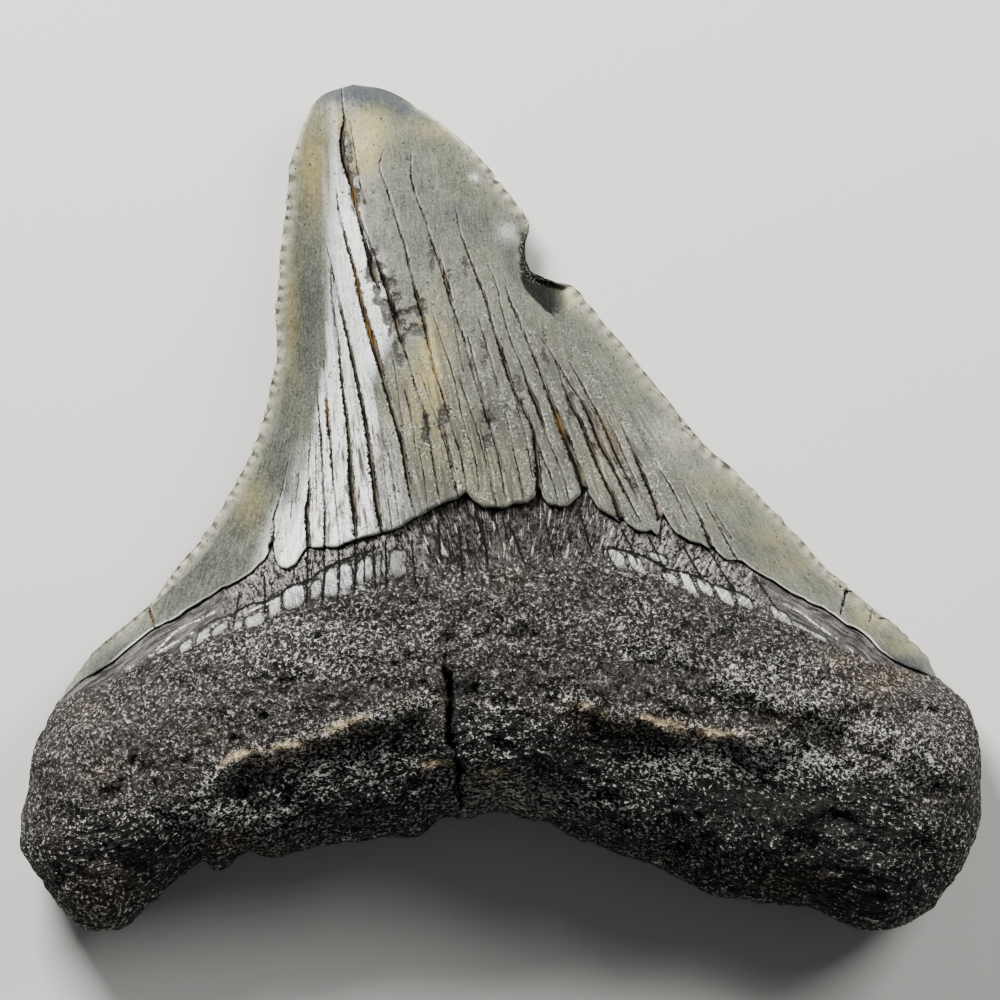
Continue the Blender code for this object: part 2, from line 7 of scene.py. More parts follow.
import bpy
import numpy as np
from bpy.props import FloatProperty, FloatVectorProperty, IntProperty, PointerProperty
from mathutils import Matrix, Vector


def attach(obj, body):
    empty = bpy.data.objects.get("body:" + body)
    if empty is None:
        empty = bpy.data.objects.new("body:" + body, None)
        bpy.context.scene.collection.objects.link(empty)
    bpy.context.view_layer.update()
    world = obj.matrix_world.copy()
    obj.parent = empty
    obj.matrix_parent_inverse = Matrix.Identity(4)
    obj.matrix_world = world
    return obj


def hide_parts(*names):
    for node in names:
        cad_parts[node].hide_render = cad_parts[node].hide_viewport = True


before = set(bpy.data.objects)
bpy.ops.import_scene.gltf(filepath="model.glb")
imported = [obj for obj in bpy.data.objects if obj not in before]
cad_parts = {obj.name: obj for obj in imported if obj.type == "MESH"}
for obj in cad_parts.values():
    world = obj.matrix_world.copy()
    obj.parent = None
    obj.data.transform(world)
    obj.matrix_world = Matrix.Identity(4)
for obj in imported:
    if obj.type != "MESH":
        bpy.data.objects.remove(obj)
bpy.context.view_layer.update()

bl_info = {
    "name": "Fossil tooth",
    "version": (1, 0),
    "blender": (4, 5, 0),
    "location": "View3D > Sidebar > Fossil tooth",
    "description": "Builds a megalodon tooth with its enamel crown and root, and a stage for it",
    "category": "Object",
}

MM = 0.001

# ---------------------------------------------------------------------------------------------------------
# The tooth's lines, in millimetres
# ---------------------------------------------------------------------------------------------------------

BLADE_EDGE_HEIGHT = 2.2          # height of the cutting edges above the ground
TIP_EDGE_RISE = 0.6              # how much higher the edges are at the tip
ROOT_EDGE_HEIGHT = 5.4           # height of the widest line round the root
BLADE_ROUNDING = 0.8             # how far in from the outline the walls reach
ROOT_ROUNDING = 5.6
LABIAL_BEVEL = 4.6               # how far in the cutting edges' labial slope reaches
LABIAL_ROUNDING = 4.2
LABIAL_DIP = 1.1                 # depth of the hollow under the labial root
REST_DEPTH = 0.12                # how much of the labial face the ground cuts flat
ENAMEL_THICKNESS = 0.65
ENAMEL_ROUNDING = 0.3            # width of the enamel's rounded lower edge
CRACK_DEPTH = 0.42
STRIATION_HEIGHT = 0.035
BANK_HEIGHT = 0.16               # how far the enamel between two cracks swells
BROKEN_DEPTH = 0.12              # depth of the rough patches where enamel flaked off
BROKEN_GRAIN = 0.05
SERRATION_DEPTH = 0.13           # how far the teeth of the cutting edges stand out
SERRATION_GROOVE = 0.25          # depth of the gaps between them on the lingual side
BITE_DEPTH = 1.3
BITE_SAG = 0.9                   # how far the face sags towards the bite's crumbled rim
LEDGE_CREST = 0.6
LEDGE_DROP = 1.35
WHORL_RADIUS = 1.75
WHORL_HEIGHT = 0.2
GROOVE_DEPTH = 1.3
SLIT_DEPTH = 0.2                 # depth of the thin cracks in the band
SLIT_HALF_WIDTH = 0.09
TILE_HEIGHT = 0.2
FIBRE_HEIGHT = 0.07
GAP_DEPTH = 0.18                 # depth of the gap under the enamel's edge
PORE_DEPTH = 0.4
HOLE_DEPTH = 0.6                 # depth of the one wide hole in the root
WEATHERING = 0.38                # how far the root's form wanders from its smooth lines
CAVITY_HEIGHT = 0.35             # how far the labial root stands back from the ground

LEFT_CORNER = (-35.7, -15.6)
RIGHT_CORNER = (35.4, -13.8)
# The cutting edges, each from the tip down to the corner where the enamel ends
LEFT_EDGE = [(-12.0, 34.3), (-14.5, 33.4), (-15.9, 31.5), (-16.7, 28.9), (-17.3, 25.0), (-17.7, 20.8),
             (-18.1, 16.0), (-18.1, 13.5), (-18.5, 10.6), (-19.6, 5.9), (-21.7, 1.2), (-24.1, -2.5),
             (-27.0, -6.0), (-28.4, -8.0), (-31.5, -10.6), (-33.1, -12.0), (-34.1, -13.5), LEFT_CORNER]
RIGHT_EDGE = [(-12.0, 34.3), (-9.9, 34.0), (-6.5, 32.3), (-2.7, 29.2), (0.7, 25.2), (1.9, 23.6), (2.3, 22.5),
              (6.4, 17.3), (8.1, 15.3), (11.5, 11.2), (15.3, 6.4), (17.1, 4.2), (19.6, 2.4), (21.8, -0.1),
              (24.7, -3.1), (28.3, -6.7), (31.5, -9.3), (33.4, -10.9), (34.7, -12.4), RIGHT_CORNER]
# The bite in the right edge: how far down the edge from its upper end, and how deep
NOTCH_START = (2.3, 22.5)
NOTCH_END = (6.4, 17.3)
NOTCH = [(0.0, 0.0), (0.6, 0.75), (1.5, 1.5), (2.7, 1.8), (3.9, 1.45), (4.8, 0.75), (5.6, 0.15), (6.6, 0.0)]
# Chips in the cutting edges: place, width along the edge and depth
LEFT_CHIPS = [((-28.6, -8.2), 0.35, 0.8), ((-18.2, 11.6), 0.5, 0.12), ((-20.4, 4.2), 0.6, 0.14),
              ((-24.4, -2.9), 0.5, 0.16), ((-17.6, 21.6), 0.4, 0.12), ((-31.8, -10.9), 0.3, 0.15)]
RIGHT_CHIPS = [((28.3, -6.7), 0.3, 0.55), ((-0.4, 26.6), 0.5, 0.25), ((8.9, 14.3), 0.45, 0.18),
               ((12.8, 9.5), 0.4, 0.16), ((15.1, 6.6), 0.5, 0.3), ((17.0, 4.3), 0.35, 0.22),
               ((23.4, -1.8), 0.5, 0.12), ((31.0, -8.9), 0.3, 0.3), ((33.2, -10.7), 0.3, 0.15),
               ((-6.7, 32.4), 0.6, 0.15), ((1.4, 24.2), 0.35, 0.15)]
# The root's outline, from the left corner round both lobes to the right corner
ROOT_OUTLINE = [LEFT_CORNER, (-36.8, -17.5), (-37.8, -19.8), (-38.3, -22.2), (-38.7, -25.2),
                (-38.5, -27.5), (-37.6, -29.4), (-36.4, -31.4), (-35.2, -32.9), (-33.6, -33.9),
                (-31.6, -34.3), (-30.0, -33.6), (-28.6, -32.3), (-27.3, -30.9), (-25.4, -29.5),
                (-24.0, -28.5), (-23.0, -29.1), (-22.0, -29.0), (-21.1, -28.3), (-18.3, -28.0),
                (-14.6, -27.3), (-10.2, -27.0), (-6.7, -26.4), (-4.7, -25.4), (-2.4, -25.0),
                (0.3, -24.7), (3.2, -25.3), (5.0, -26.3), (8.5, -27.4), (11.3, -28.6), (13.9, -29.5),
                (16.4, -30.9), (19.8, -31.5), (23.4, -32.2), (26.7, -33.0), (29.2, -33.9), (32.2, -33.9),
                (34.2, -32.8), (35.9, -30.9), (37.3, -28.8), (38.2, -26.4), (38.7, -23.7), (38.7, -20.9),
                (38.4, -17.9), (37.6, -15.9), RIGHT_CORNER]
# The lower edge of the lingual enamel, in tongues, and the smooth arch above it where the root's skin ends
ENAMEL_LINE = [LEFT_CORNER, (-34.2, -14.2), (-32.4, -13.2), (-31.2, -12.3), (-30.1, -11.4), (-29.1, -10.6),
               (-28.3, -9.9), (-27.7, -9.5), (-26.8, -9.2), (-25.7, -8.5), (-24.6, -7.8), (-23.5, -7.2),
               (-22.3, -6.5), (-21.2, -5.9), (-20.2, -5.2), (-19.3, -4.4), (-18.9, -3.9), (-18.7, -3.4),
               (-18.5, -2.7), (-18.3, -2.8), (-18.2, -3.8), (-17.8, -4.7), (-17.1, -5.0), (-16.5, -4.6),
               (-16.0, -3.8), (-15.8, -3.5), (-15.1, -3.2), (-13.1, -3.2), (-12.2, -2.8), (-11.6, -2.5),
               (-9.3, -2.0), (-8.2, -1.6), (-7.4, -1.2), (-6.2, -0.6), (-5.1, 0.0), (-4.0, 0.5),
               (-3.4, 0.8), (-2.8, 1.2), (-2.1, 0.5), (-1.3, 0.0), (0.3, -0.1), (1.1, 0.2), (2.1, 0.3),
               (2.7, 0.8), (3.0, 1.3), (3.2, 1.4), (3.4, 0.8), (3.8, 0.3), (4.7, 0.0), (5.3, 0.1),
               (5.9, 0.5), (6.4, 1.0), (6.6, 1.6), (6.9, 1.6), (7.2, 1.0), (7.8, 0.0), (8.8, -0.7),
               (9.6, -1.1), (9.8, -0.8), (10.1, -1.2), (10.9, -1.8), (11.8, -2.0), (12.1, -1.9),
               (12.6, -2.3), (12.8, -1.9), (12.9, -0.8), (13.1, -0.5), (13.8, -1.6), (14.2, -2.1),
               (15.2, -2.7), (16.2, -3.0), (16.9, -3.4), (17.1, -3.2), (17.5, -3.7), (18.2, -4.2),
               (19.0, -4.3), (19.5, -4.4), (20.6, -5.2), (22.2, -6.1), (23.5, -6.9), (24.8, -7.6),
               (26.0, -8.1), (26.9, -8.8), (28.0, -9.5), (29.0, -10.0), (29.9, -10.7), (30.6, -11.6),
               (32.8, -12.9), RIGHT_CORNER]
ARCH_LINE = [LEFT_CORNER, (-32.9, -13.0), (-30.0, -10.6), (-26.0, -7.6), (-20.5, -3.4), (-15.0, -1.6),
             (-8.0, 0.6), (-2.5, 2.6), (3.0, 2.9), (8.0, 2.1), (13.2, 0.3), (18.0, -2.2), (23.5, -5.3),
             (28.0, -8.3), (31.5, -11.0), RIGHT_CORNER]
LABIAL_LINE = [LEFT_CORNER, (-29.0, -14.4), (-20.0, -12.2), (-10.0, -10.9), (0.0, -10.7), (10.0, -10.9),
               (20.0, -11.8), (29.0, -13.0), RIGHT_CORNER]
# Where the dark band below the enamel ends
BAND_LINE = [LEFT_CORNER, (-31.7, -13.7), (-28.0, -12.2), (-25.1, -10.9), (-22.3, -9.2), (-19.9, -8.3),
             (-16.5, -7.0), (-13.4, -5.9), (-8.9, -5.7), (-4.0, -5.0), (1.0, -4.4), (6.0, -4.0),
             (9.3, -4.1), (12.0, -4.8), (15.0, -5.9), (18.0, -7.1), (22.6, -8.9), (25.0, -10.2),
             (29.0, -12.0), (32.0, -13.2), RIGHT_CORNER]

# Heights of the lingual face: one row for each station along Y, one height for each place across the tooth
ACROSS = [0.0, 0.06, 0.14, 0.25, 0.40, 0.55, 0.70, 0.84, 0.93, 1.0]
SECTIONS = [
    (-35.0, [10.0, 10.5, 10.8, 11.0, 11.2, 11.2, 11.0, 10.8, 10.5, 10.0]),
    (-28.6, [10.4, 11.3, 11.8, 12.2, 12.8, 12.9, 12.5, 12.1, 11.6, 10.6]),
    (-23.7, [10.6, 11.8, 12.6, 13.4, 14.4, 14.6, 14.2, 13.4, 12.4, 11.0]),
    (-19.7, [9.4, 11.4, 12.8, 14.4, 15.8, 16.0, 15.4, 14.0, 12.4, 10.4]),
    (-15.6, [4.6, 9.0, 12.2, 14.9, 16.5, 16.8, 16.0, 13.6, 10.3, 6.4]),
    (-12.4, [2.3, 7.0, 11.4, 14.8, 16.8, 17.0, 16.0, 12.8, 8.2, 2.8]),
    (-7.5, [2.2, 5.2, 10.0, 13.8, 15.9, 16.1, 15.0, 11.4, 6.2, 2.2]),
    (-2.7, [2.2, 4.4, 8.2, 12.6, 14.3, 14.5, 13.3, 9.6, 5.4, 2.2]),
    (2.2, [2.2, 4.0, 7.0, 11.6, 13.2, 13.4, 12.0, 8.2, 4.9, 2.2]),
    (8.7, [2.2, 3.6, 5.8, 10.3, 12.0, 12.1, 10.6, 7.0, 4.3, 2.2]),
    (16.8, [2.2, 3.3, 5.0, 8.6, 10.0, 10.0, 8.8, 6.0, 3.8, 2.2]),
    (24.9, [2.3, 3.1, 4.3, 6.4, 7.5, 7.4, 6.5, 4.8, 3.4, 2.3]),
    (28.9, [2.5, 3.1, 4.0, 5.2, 6.0, 6.0, 5.4, 4.3, 3.3, 2.5]),
    (32.2, [2.8, 3.2, 3.7, 4.2, 4.6, 4.6, 4.3, 3.8, 3.3, 2.8]),
    (34.4, [2.9, 3.1, 3.2, 3.4, 3.5, 3.5, 3.4, 3.2, 3.1, 2.9])]

# Cracks in the enamel, each running down from the tip's side: places, and the crack's half width at each
CRACKS = [
    [(-13.3, 26.1, .04), (-13.1, 24.2, .08), (-12.6, 22.0, .12), (-11.9, 19.6, .14), (-11.6, 18.4, .16),
     (-11.1, 16.1, .22), (-10.4, 13.8, .28), (-9.8, 11.8, .28), (-9.4, 10.2, .14), (-9.0, 8.8, .16),
     (-8.2, 6.1, .16), (-7.8, 4.6, .20), (-7.5, 2.7, .18), (-7.2, 0.9, .12), (-6.8, -0.5, .08)],
    [(-12.9, 34.1, .04), (-12.7, 32.0, .06), (-12.6, 31.4, .12), (-12.8, 30.2, .17), (-12.7, 28.3, .24),
     (-12.4, 27.3, .24), (-11.9, 25.5, .16), (-11.5, 23.7, .13), (-11.0, 21.6, .14), (-10.5, 19.8, .22),
     (-10.2, 18.7, .26), (-9.8, 17.6, .08)],
    [(-11.4, 23.8, .04), (-10.9, 22.3, .06), (-10.0, 20.0, .12), (-9.4, 18.3, .16), (-9.0, 17.1, .22),
     (-8.6, 15.9, .22), (-8.1, 13.8, .14), (-7.4, 11.8, .10), (-6.8, 9.7, .08), (-6.1, 7.6, .10),
     (-5.7, 5.6, .10), (-5.3, 3.2, .07), (-4.9, 0.7, .05)],
    [(-14.1, 21.2, .04), (-13.6, 19.4, .06), (-13.2, 17.4, .10), (-12.6, 14.8, .14), (-12.0, 12.4, .16),
     (-11.5, 9.9, .15), (-10.9, 7.1, .20), (-10.4, 3.9, .24), (-10.0, 1.0, .25), (-9.7, -1.0, .20),
     (-9.5, -1.9, .14)],
    [(-13.7, 19.9, .04), (-13.6, 16.9, .08), (-13.2, 14.3, .10), (-12.8, 10.2, .14), (-12.2, 5.5, .18),
     (-12.0, 2.4, .27), (-11.7, -0.6, .25), (-11.6, -2.2, .20)],
    [(-14.3, 11.9, .04), (-14.1, 9.7, .08), (-14.0, 7.7, .15), (-13.7, 5.0, .12), (-13.5, 2.4, .08),
     (-13.2, -0.2, .05), (-12.9, -2.7, .06)],
    [(-14.8, 9.1, .04), (-14.5, 5.6, .10), (-14.3, 2.2, .12), (-14.1, -1.0, .12), (-14.1, -3.1, .13)],
    [(-15.3, 6.1, .03), (-15.5, 3.0, .07), (-15.4, 1.0, .16), (-15.6, -0.4, .21), (-15.5, -1.8, .22),
     (-15.4, -3.3, .20)],
    [(-14.9, 6.7, .03), (-14.9, 3.0, .05), (-14.8, -0.4, .03)],
    [(-16.0, 4.6, .03), (-16.3, 2.4, .05), (-16.5, 0.4, .03)],
    [(-16.8, 2.6, .03), (-16.9, -0.9, .05)],
    [(-17.1, 4.2, .03), (-17.5, 2.2, .05), (-17.9, 0.4, .07), (-18.3, -0.7, .10), (-18.3, -1.9, .12),
     (-18.5, -3.3, .20)],
    [(-9.4, 28.9, .04), (-9.8, 27.7, .05), (-9.4, 26.3, .08), (-8.8, 24.6, .12), (-8.3, 22.9, .10),
     (-7.7, 21.0, .10), (-7.2, 18.8, .10), (-6.7, 16.9, .20), (-6.1, 14.7, .17), (-5.6, 12.3, .12),
     (-5.3, 11.0, .14), (-4.7, 9.2, .10), (-4.1, 7.0, .06), (-3.2, 4.2, .06), (-2.6, 0.9, .05)],
    [(-7.2, 28.4, .05), (-7.2, 26.5, .08), (-6.3, 23.8, .09), (-5.5, 21.4, .10), (-4.6, 18.6, .12),
     (-3.8, 15.9, .12), (-3.0, 13.8, .11), (-2.3, 11.1, .13), (-1.6, 8.9, .10), (-0.9, 6.7, .12),
     (-0.2, 4.2, .08), (0.4, 0.7, .05)],
    [(-4.8, 19.9, .04), (-4.3, 18.4, .08), (-3.8, 16.5, .05)],
    [(-2.6, 13.7, .04), (-2.0, 11.3, .07), (-1.3, 9.1, .05)],
    [(-3.6, 24.0, .05), (-3.2, 22.1, .06), (-2.6, 20.4, .10), (-1.8, 18.4, .16), (-1.1, 16.5, .16),
     (-0.6, 14.5, .12), (-0.1, 13.1, .18), (0.4, 11.4, .22), (1.0, 9.6, .14), (1.8, 8.0, .12),
     (2.6, 6.3, .14), (2.9, 4.2, .18), (3.1, 2.0, .22), (3.1, 1.1, .22)],
    [(2.6, 6.4, .06), (3.3, 4.3, .09), (4.2, 2.0, .05), (4.6, 0.6, .04)],
    [(-1.0, 19.6, .04), (-0.4, 18.2, .06), (0.0, 16.4, .07), (0.9, 13.2, .06), (1.7, 11.4, .08),
     (2.3, 9.6, .15), (2.9, 8.3, .22), (3.3, 7.1, .14), (3.9, 5.3, .05), (5.1, 2.4, .05), (5.5, 0.6, .04)],
    [(0.4, 17.8, .06), (0.9, 16.3, .10), (1.3, 15.5, .14), (1.9, 14.0, .12), (3.0, 11.4, .13),
     (3.6, 9.7, .16), (4.3, 8.0, .20), (4.8, 6.7, .31), (5.4, 5.2, .30), (5.7, 4.3, .24), (6.3, 2.9, .28),
     (6.8, 1.2, .26)],
    [(3.4, 13.5, .05), (4.5, 11.7, .08), (5.1, 9.7, .10), (5.7, 8.3, .16), (6.7, 6.3, .17),
     (6.9, 5.7, .12), (7.6, 4.1, .20), (8.2, 2.4, .10), (9.1, 0.7, .15), (9.7, -0.9, .22)],
    [(4.5, 11.9, .04), (5.5, 10.1, .10), (6.4, 8.8, .12), (7.2, 7.3, .22), (8.1, 5.0, .20),
     (9.0, 3.3, .14), (9.8, 1.6, .10), (10.7, -0.1, .05), (11.4, -1.4, .04)],
    [(5.5, 11.8, .04), (6.5, 10.1, .07), (7.3, 8.5, .10), (8.1, 7.1, .14), (8.8, 5.5, .14),
     (9.5, 3.9, .16), (10.2, 2.4, .12), (11.1, 0.6, .05)],
    [(9.7, 6.9, .04), (10.4, 5.1, .08), (11.1, 3.7, .13), (11.7, 2.1, .13), (12.3, 0.7, .15),
     (12.8, -1.0, .20)],
    [(8.7, 7.6, .03), (9.5, 5.3, .05), (10.6, 2.7, .04), (11.4, 0.7, .04)],
    [(12.5, 3.7, .03), (13.2, 2.5, .06), (14.1, 1.0, .05), (15.1, -1.2, .03)],
    [(14.8, 1.8, .03), (15.8, -0.2, .08), (16.5, -1.9, .13), (17.1, -3.4, .14)],
    [(16.6, 0.3, .03), (17.4, -1.2, .05), (18.5, -3.2, .06), (19.0, -4.1, .08)],
    [(17.4, -0.5, .03), (18.1, -1.7, .05), (18.7, -2.5, .03)],
    [(-5.5, 15.7, .04), (-4.7, 13.3, .05), (-3.9, 11.0, .05), (-3.0, 7.0, .05), (-2.1, 4.2, .04),
     (-1.7, 1.4, .04)],
    [(-7.7, 9.4, .04), (-7.1, 6.8, .05), (-6.8, 4.6, .04)],
    [(-8.6, 11.8, .03), (-8.1, 8.3, .04), (-7.7, 5.4, .03)],
    [(-6.4, 10.7, .04), (-5.5, 8.1, .05), (-4.3, 4.7, .05), (-3.6, 1.4, .04)],
    [(-1.8, 15.2, .04), (-1.0, 12.6, .05), (-0.2, 9.7, .05)],
    [(-3.3, 10.3, .03), (-2.3, 7.5, .05), (-1.3, 4.2, .05), (-0.5, 0.6, .04)],
    [(0.4, 7.5, .04), (1.0, 4.9, .06), (1.6, 2.2, .07), (1.9, 0.4, .05)],
    [(1.2, 8.7, .03), (2.0, 5.7, .05), (2.6, 2.4, .04)],
    [(-1.7, 6.7, .04), (-0.9, 3.4, .05), (-0.3, 0.2, .04)],
    [(-4.4, 5.9, .04), (-3.8, 3.4, .05), (-3.4, 0.9, .04)],
    [(-6.5, 4.6, .04), (-6.1, 2.2, .05), (-5.8, -0.3, .04)],
    [(-9.0, 4.6, .04), (-8.5, 1.6, .05), (-8.1, -1.4, .05)],
    [(-9.4, 3.7, .03), (-9.0, 0.7, .05), (-8.7, -1.6, .04)],
    [(-12.2, 31.3, .03), (-11.8, 28.9, .05), (-11.4, 26.5, .06), (-10.9, 24.5, .10)],
    [(-3.8, 15.3, .03), (-3.4, 13.1, .04), (-3.0, 11.0, .03)],
    [(-28.4, -8.4, .14), (-28.1, -9.2, .12), (-28.0, -9.7, .10)],
    [(28.1, -6.8, .12), (27.7, -7.9, .10), (27.5, -8.6, .06)],
    [(30.1, -8.5, .08), (29.9, -9.2, .05)]]
FAR = 0.9                        # distances to lines are kept up to this, in millimetres

# Ridges of the root, from left to right; the face drops below each of them
LEDGES = [(0.8, [(-24.5, -23.0), (-21.6, -20.4), (-18.3, -19.2), (-13.8, -18.0), (-10.2, -16.8),
                 (-5.6, -15.0)]),
          (0.8, [(4.9, -14.9), (11.3, -17.0), (15.2, -17.7), (20.1, -18.8), (24.5, -19.4)]),
          (0.35, [(25.0, -17.2), (29.0, -17.8), (30.9, -18.8), (36.3, -20.4)]),
          (0.6, [(14.5, -12.2), (22.1, -15.3), (29.9, -16.9)])]
# Parts of the ridges worn to cream: places and strength
CREAM_CRESTS = [[(-22.6, -20.9, .2), (-21.5, -20.2, .9), (-20.2, -19.7, .6), (-18.1, -19.0, .7),
                 (-16.4, -18.6, .4), (-13.8, -17.9, .7), (-12.0, -17.3, .8), (-10.2, -16.7, .4)],
                [(-9.6, -16.2, .1), (-8.2, -15.7, .35), (-6.7, -15.3, .1)],
                [(-6.9, -20.7, .1), (-5.6, -20.4, .7), (-4.2, -20.5, .2)],
                [(-1.9, -21.5, .1), (-.8, -20.9, .5), (.3, -20.8, .1)],
                [(5.0, -15.4, .1), (6.6, -15.9, .45), (9.6, -16.6, .45), (12.5, -17.1, .85),
                 (14.8, -17.6, .6), (18.3, -18.4, .6), (20.8, -18.9, .1)]]
# The line, from one side to the other, below which the root faces away from the tip and its colour is
# painted darker as shade
RIDGE_LINE = [(-40.0, -25.0), (-33.0, -22.5), (-24.5, -22.0), (-18.3, -18.2), (-11.0, -16.4), (-4.0, -14.5),
              (4.5, -14.5), (11.3, -16.8), (20.1, -18.9), (29.0, -19.5), (36.0, -23.5), (40.0, -25.0)]
NUTRIENT_GROOVE = [(-4.2, -10.4), (-4.5, -12.7), (-4.0, -14.3), (-4.2, -17.5), (-3.6, -20.1), (-3.5, -21.9),
                   (-2.9, -24.0)]
WHORLS = [(11.6, -10.1), (-17.8, -11.6)]
# The scoop beside the bite: its lip, from the notch round to the cutting edge; and the crumbled rim
BITE_LIP = [(1.7, 19.4), (2.0, 17.7), (3.1, 16.6), (4.1, 15.6), (4.7, 15.6), (5.3, 16.1), (5.6, 17.6)]
BITE_RIM = [(2.1, 21.9), (1.9, 19.9), (2.5, 18.8), (3.9, 18.25)]
# The painted shadow on the scoop's floor beside the bite, as a closed line
BITE_SHADOW = [(1.9, 21.8), (2.2, 19.9), (2.6, 18.9), (3.7, 18.6), (4.4, 18.3), (5.5, 18.0), (5.6, 17.2),
            (5.3, 16.1), (4.7, 15.6), (4.1, 15.6), (3.6, 15.9), (3.0, 16.5), (2.1, 17.4), (1.6, 18.5),
            (1.6, 20.9)]
# Short dark cracks that run down through the band
BAND_CRACKS = [[(-15.5, -3.4), (-15.5, -7.8)], [(-14.2, -3.4), (-14.1, -5.5), (-14.3, -7.8)],
               [(-13.0, -3.3), (-12.9, -5.1), (-13.0, -7.4)], [(-11.7, -2.7), (-11.6, -4.3), (-11.7, -6.9)],
               [(-10.9, -3.3), (-10.9, -5.9)], [(-10.2, -3.1), (-10.0, -6.3)], [(-9.2, -2.7), (-9.1, -6.3)],
               [(-7.1, -2.6), (-6.8, -6.1)], [(-5.0, -1.4), (-4.8, -4.0)], [(-1.5, -1.0), (-1.0, -4.6)],
               [(0.9, -1.8), (2.0, -4.6)], [(-3.2, -3.0), (-3.0, -5.6)], [(3.6, -1.2), (4.3, -4.0)],
               [(9.7, -1.8), (10.5, -3.2), (11.0, -4.6)], [(11.9, -2.4), (12.8, -4.2), (13.3, -5.5)],
               [(14.8, -3.3), (16.4, -6.2)], [(17.0, -3.8), (19.0, -7.1)], [(-19.0, -5.6), (-18.9, -8.4)],
               [(-21.0, -7.0), (-21.4, -9.0)], [(6.4, -0.6), (7.4, -3.8)], [(20.6, -5.8), (22.4, -8.4)],
               [(-16.2, -6.1), (-15.4, -5.9), (-14.4, -5.1), (-13.0, -4.4), (-11.8, -3.9), (-10.4, -3.5)],
               [(-15.5, -6.2), (-17.1, -6.4), (-17.5, -6.9), (-18.6, -7.5), (-20.4, -7.9), (-21.7, -8.7),
                (-23.3, -9.2), (-24.3, -10.0)],
               [(8.7, -3.2), (10.1, -3.5), (11.9, -4.1), (13.2, -4.9), (14.6, -5.2), (15.8, -5.6),
                (17.3, -6.3), (19.0, -6.8), (20.3, -7.5)]]
SEED = 11


# ---------------------------------------------------------------------------------------------------------
# Curves, distances and noise, all as whole arrays
# ---------------------------------------------------------------------------------------------------------

def smooth(knots, values, at):
    """Cubic curve through `values` at the rising `knots`, read at each `at`. Values may differ by point."""
    knots = np.asarray(knots, float)
    values = np.asarray(values, float)
    if values.ndim == 1:
        values = np.repeat(values[:, None], len(at), axis=1)
    slopes = np.gradient(values, knots, axis=0)
    at = np.clip(at, knots[0], knots[-1])
    low = np.clip(np.searchsorted(knots, at, side="right") - 1, 0, len(knots) - 2)
    span = knots[low + 1] - knots[low]
    part = (at - knots[low]) / span
    point = np.arange(len(at))
    start, end = values[low, point], values[low + 1, point]
    leave, arrive = slopes[low, point] * span, slopes[low + 1, point] * span
    bend = 3 * (end - start) - 2 * leave - arrive
    twist = 2 * (start - end) + leave + arrive
    return start + part * (leave + part * (bend + part * twist))


def ease(low, high, value):
    """0 below low, 1 above high and a smooth rise between; low may be the greater of the two."""
    part = np.clip((value - low) / (high - low), 0, 1)
    return part * part * (3 - 2 * part)


def along(points, fractions):
    """Places on the smooth line through given points, at fractions of its length."""
    points = np.array(points)
    knots = running_length(points)
    return np.stack([smooth(knots, points[:, axis], fractions * knots[-1]) for axis in (0, 1)], axis=1)


def across(points, x):
    """Places on a line that runs from left to right, at the given x."""
    points = np.array(points)
    return np.stack([x, smooth(points[:, 0], points[:, 1], x)], axis=1)


def length_of(points):
    """Length of a line of points."""
    return running_length(np.array(points))[-1]


def running_length(points):
    """How far along a line each of its points lies."""
    return np.concatenate([[0], np.cumsum(np.linalg.norm(np.diff(points, axis=0), axis=1))])


def spline(points, step):
    """Smooth line through given points, with a point about every step."""
    count = max(2, round(length_of(points) / step))
    return along(points, np.linspace(0, 1, count + 1))


def right_hand(line):
    """Unit vectors to the right of a line's direction, one for each of its points."""
    ahead = np.gradient(line, axis=0)
    ahead /= np.linalg.norm(ahead, axis=1)[:, None]
    return np.stack([ahead[:, 1], -ahead[:, 0]], axis=1)


def inside(loop, places):
    """True for places within a closed loop of points: an even-odd count of the edges to their right."""
    start, end = loop, np.roll(loop, -1, axis=0)
    found = np.zeros(len(places), bool)
    for (ax, ay), (bx, by) in zip(start, end):
        if ay != by:
            spans = (ay > places[:, 1]) != (by > places[:, 1])
            crossing = ax + (places[:, 1] - ay) / (by - ay) * (bx - ax)
            found ^= spans & (places[:, 0] < crossing)
    return found


def nearest(line, places):
    """Distance from each place to a line, how far along the line that is, and its side: +1 is left."""
    best = np.full(len(places), np.inf)
    reach = np.zeros(len(places))
    side = np.zeros(len(places))
    passed = 0.0
    for start, end in zip(line[:-1], line[1:]):
        step = end - start
        length = np.linalg.norm(step)
        offset = places - start
        part = np.clip(offset @ step / length ** 2, 0, 1)
        distance = np.hypot(offset[:, 0] - part * step[0], offset[:, 1] - part * step[1])
        closer = distance < best
        best[closer] = distance[closer]
        reach[closer] = passed + part[closer] * length
        side[closer] = np.sign(step[0] * offset[closer, 1] - step[1] * offset[closer, 0])
        passed += length
    return best, reach, side


def signed(loop, places):
    """Distance to a closed line of points: positive within it."""
    edge = nearest(np.vstack([loop, loop[:1]]), places)[0]
    return np.where(inside(loop, places), edge, -edge)


def above(line, places):
    """Signed distance to a line that runs from left to right: positive on the tip's side."""
    loop = np.vstack([line, [(60, 60), (-60, 60)]])
    return np.where(inside(loop, places), 1, -1) * nearest(line, places)[0]


def lumps(places, size, seed):
    """Plan noise, from -1 to 1: seeded values on a square lattice of the given size, joined smoothly."""
    lattice = np.random.default_rng(seed).uniform(-1, 1, (64, 64))
    cell = places / size + 32
    low = np.floor(cell).astype(int) % 63
    part = ease(0, 1, cell - np.floor(cell))
    (i, j), (a, b) = low.T, part.T
    near = lattice[i, j] * (1 - a) + lattice[i + 1, j] * a
    far = lattice[i, j + 1] * (1 - a) + lattice[i + 1, j + 1] * a
    return near * (1 - b) + far * b


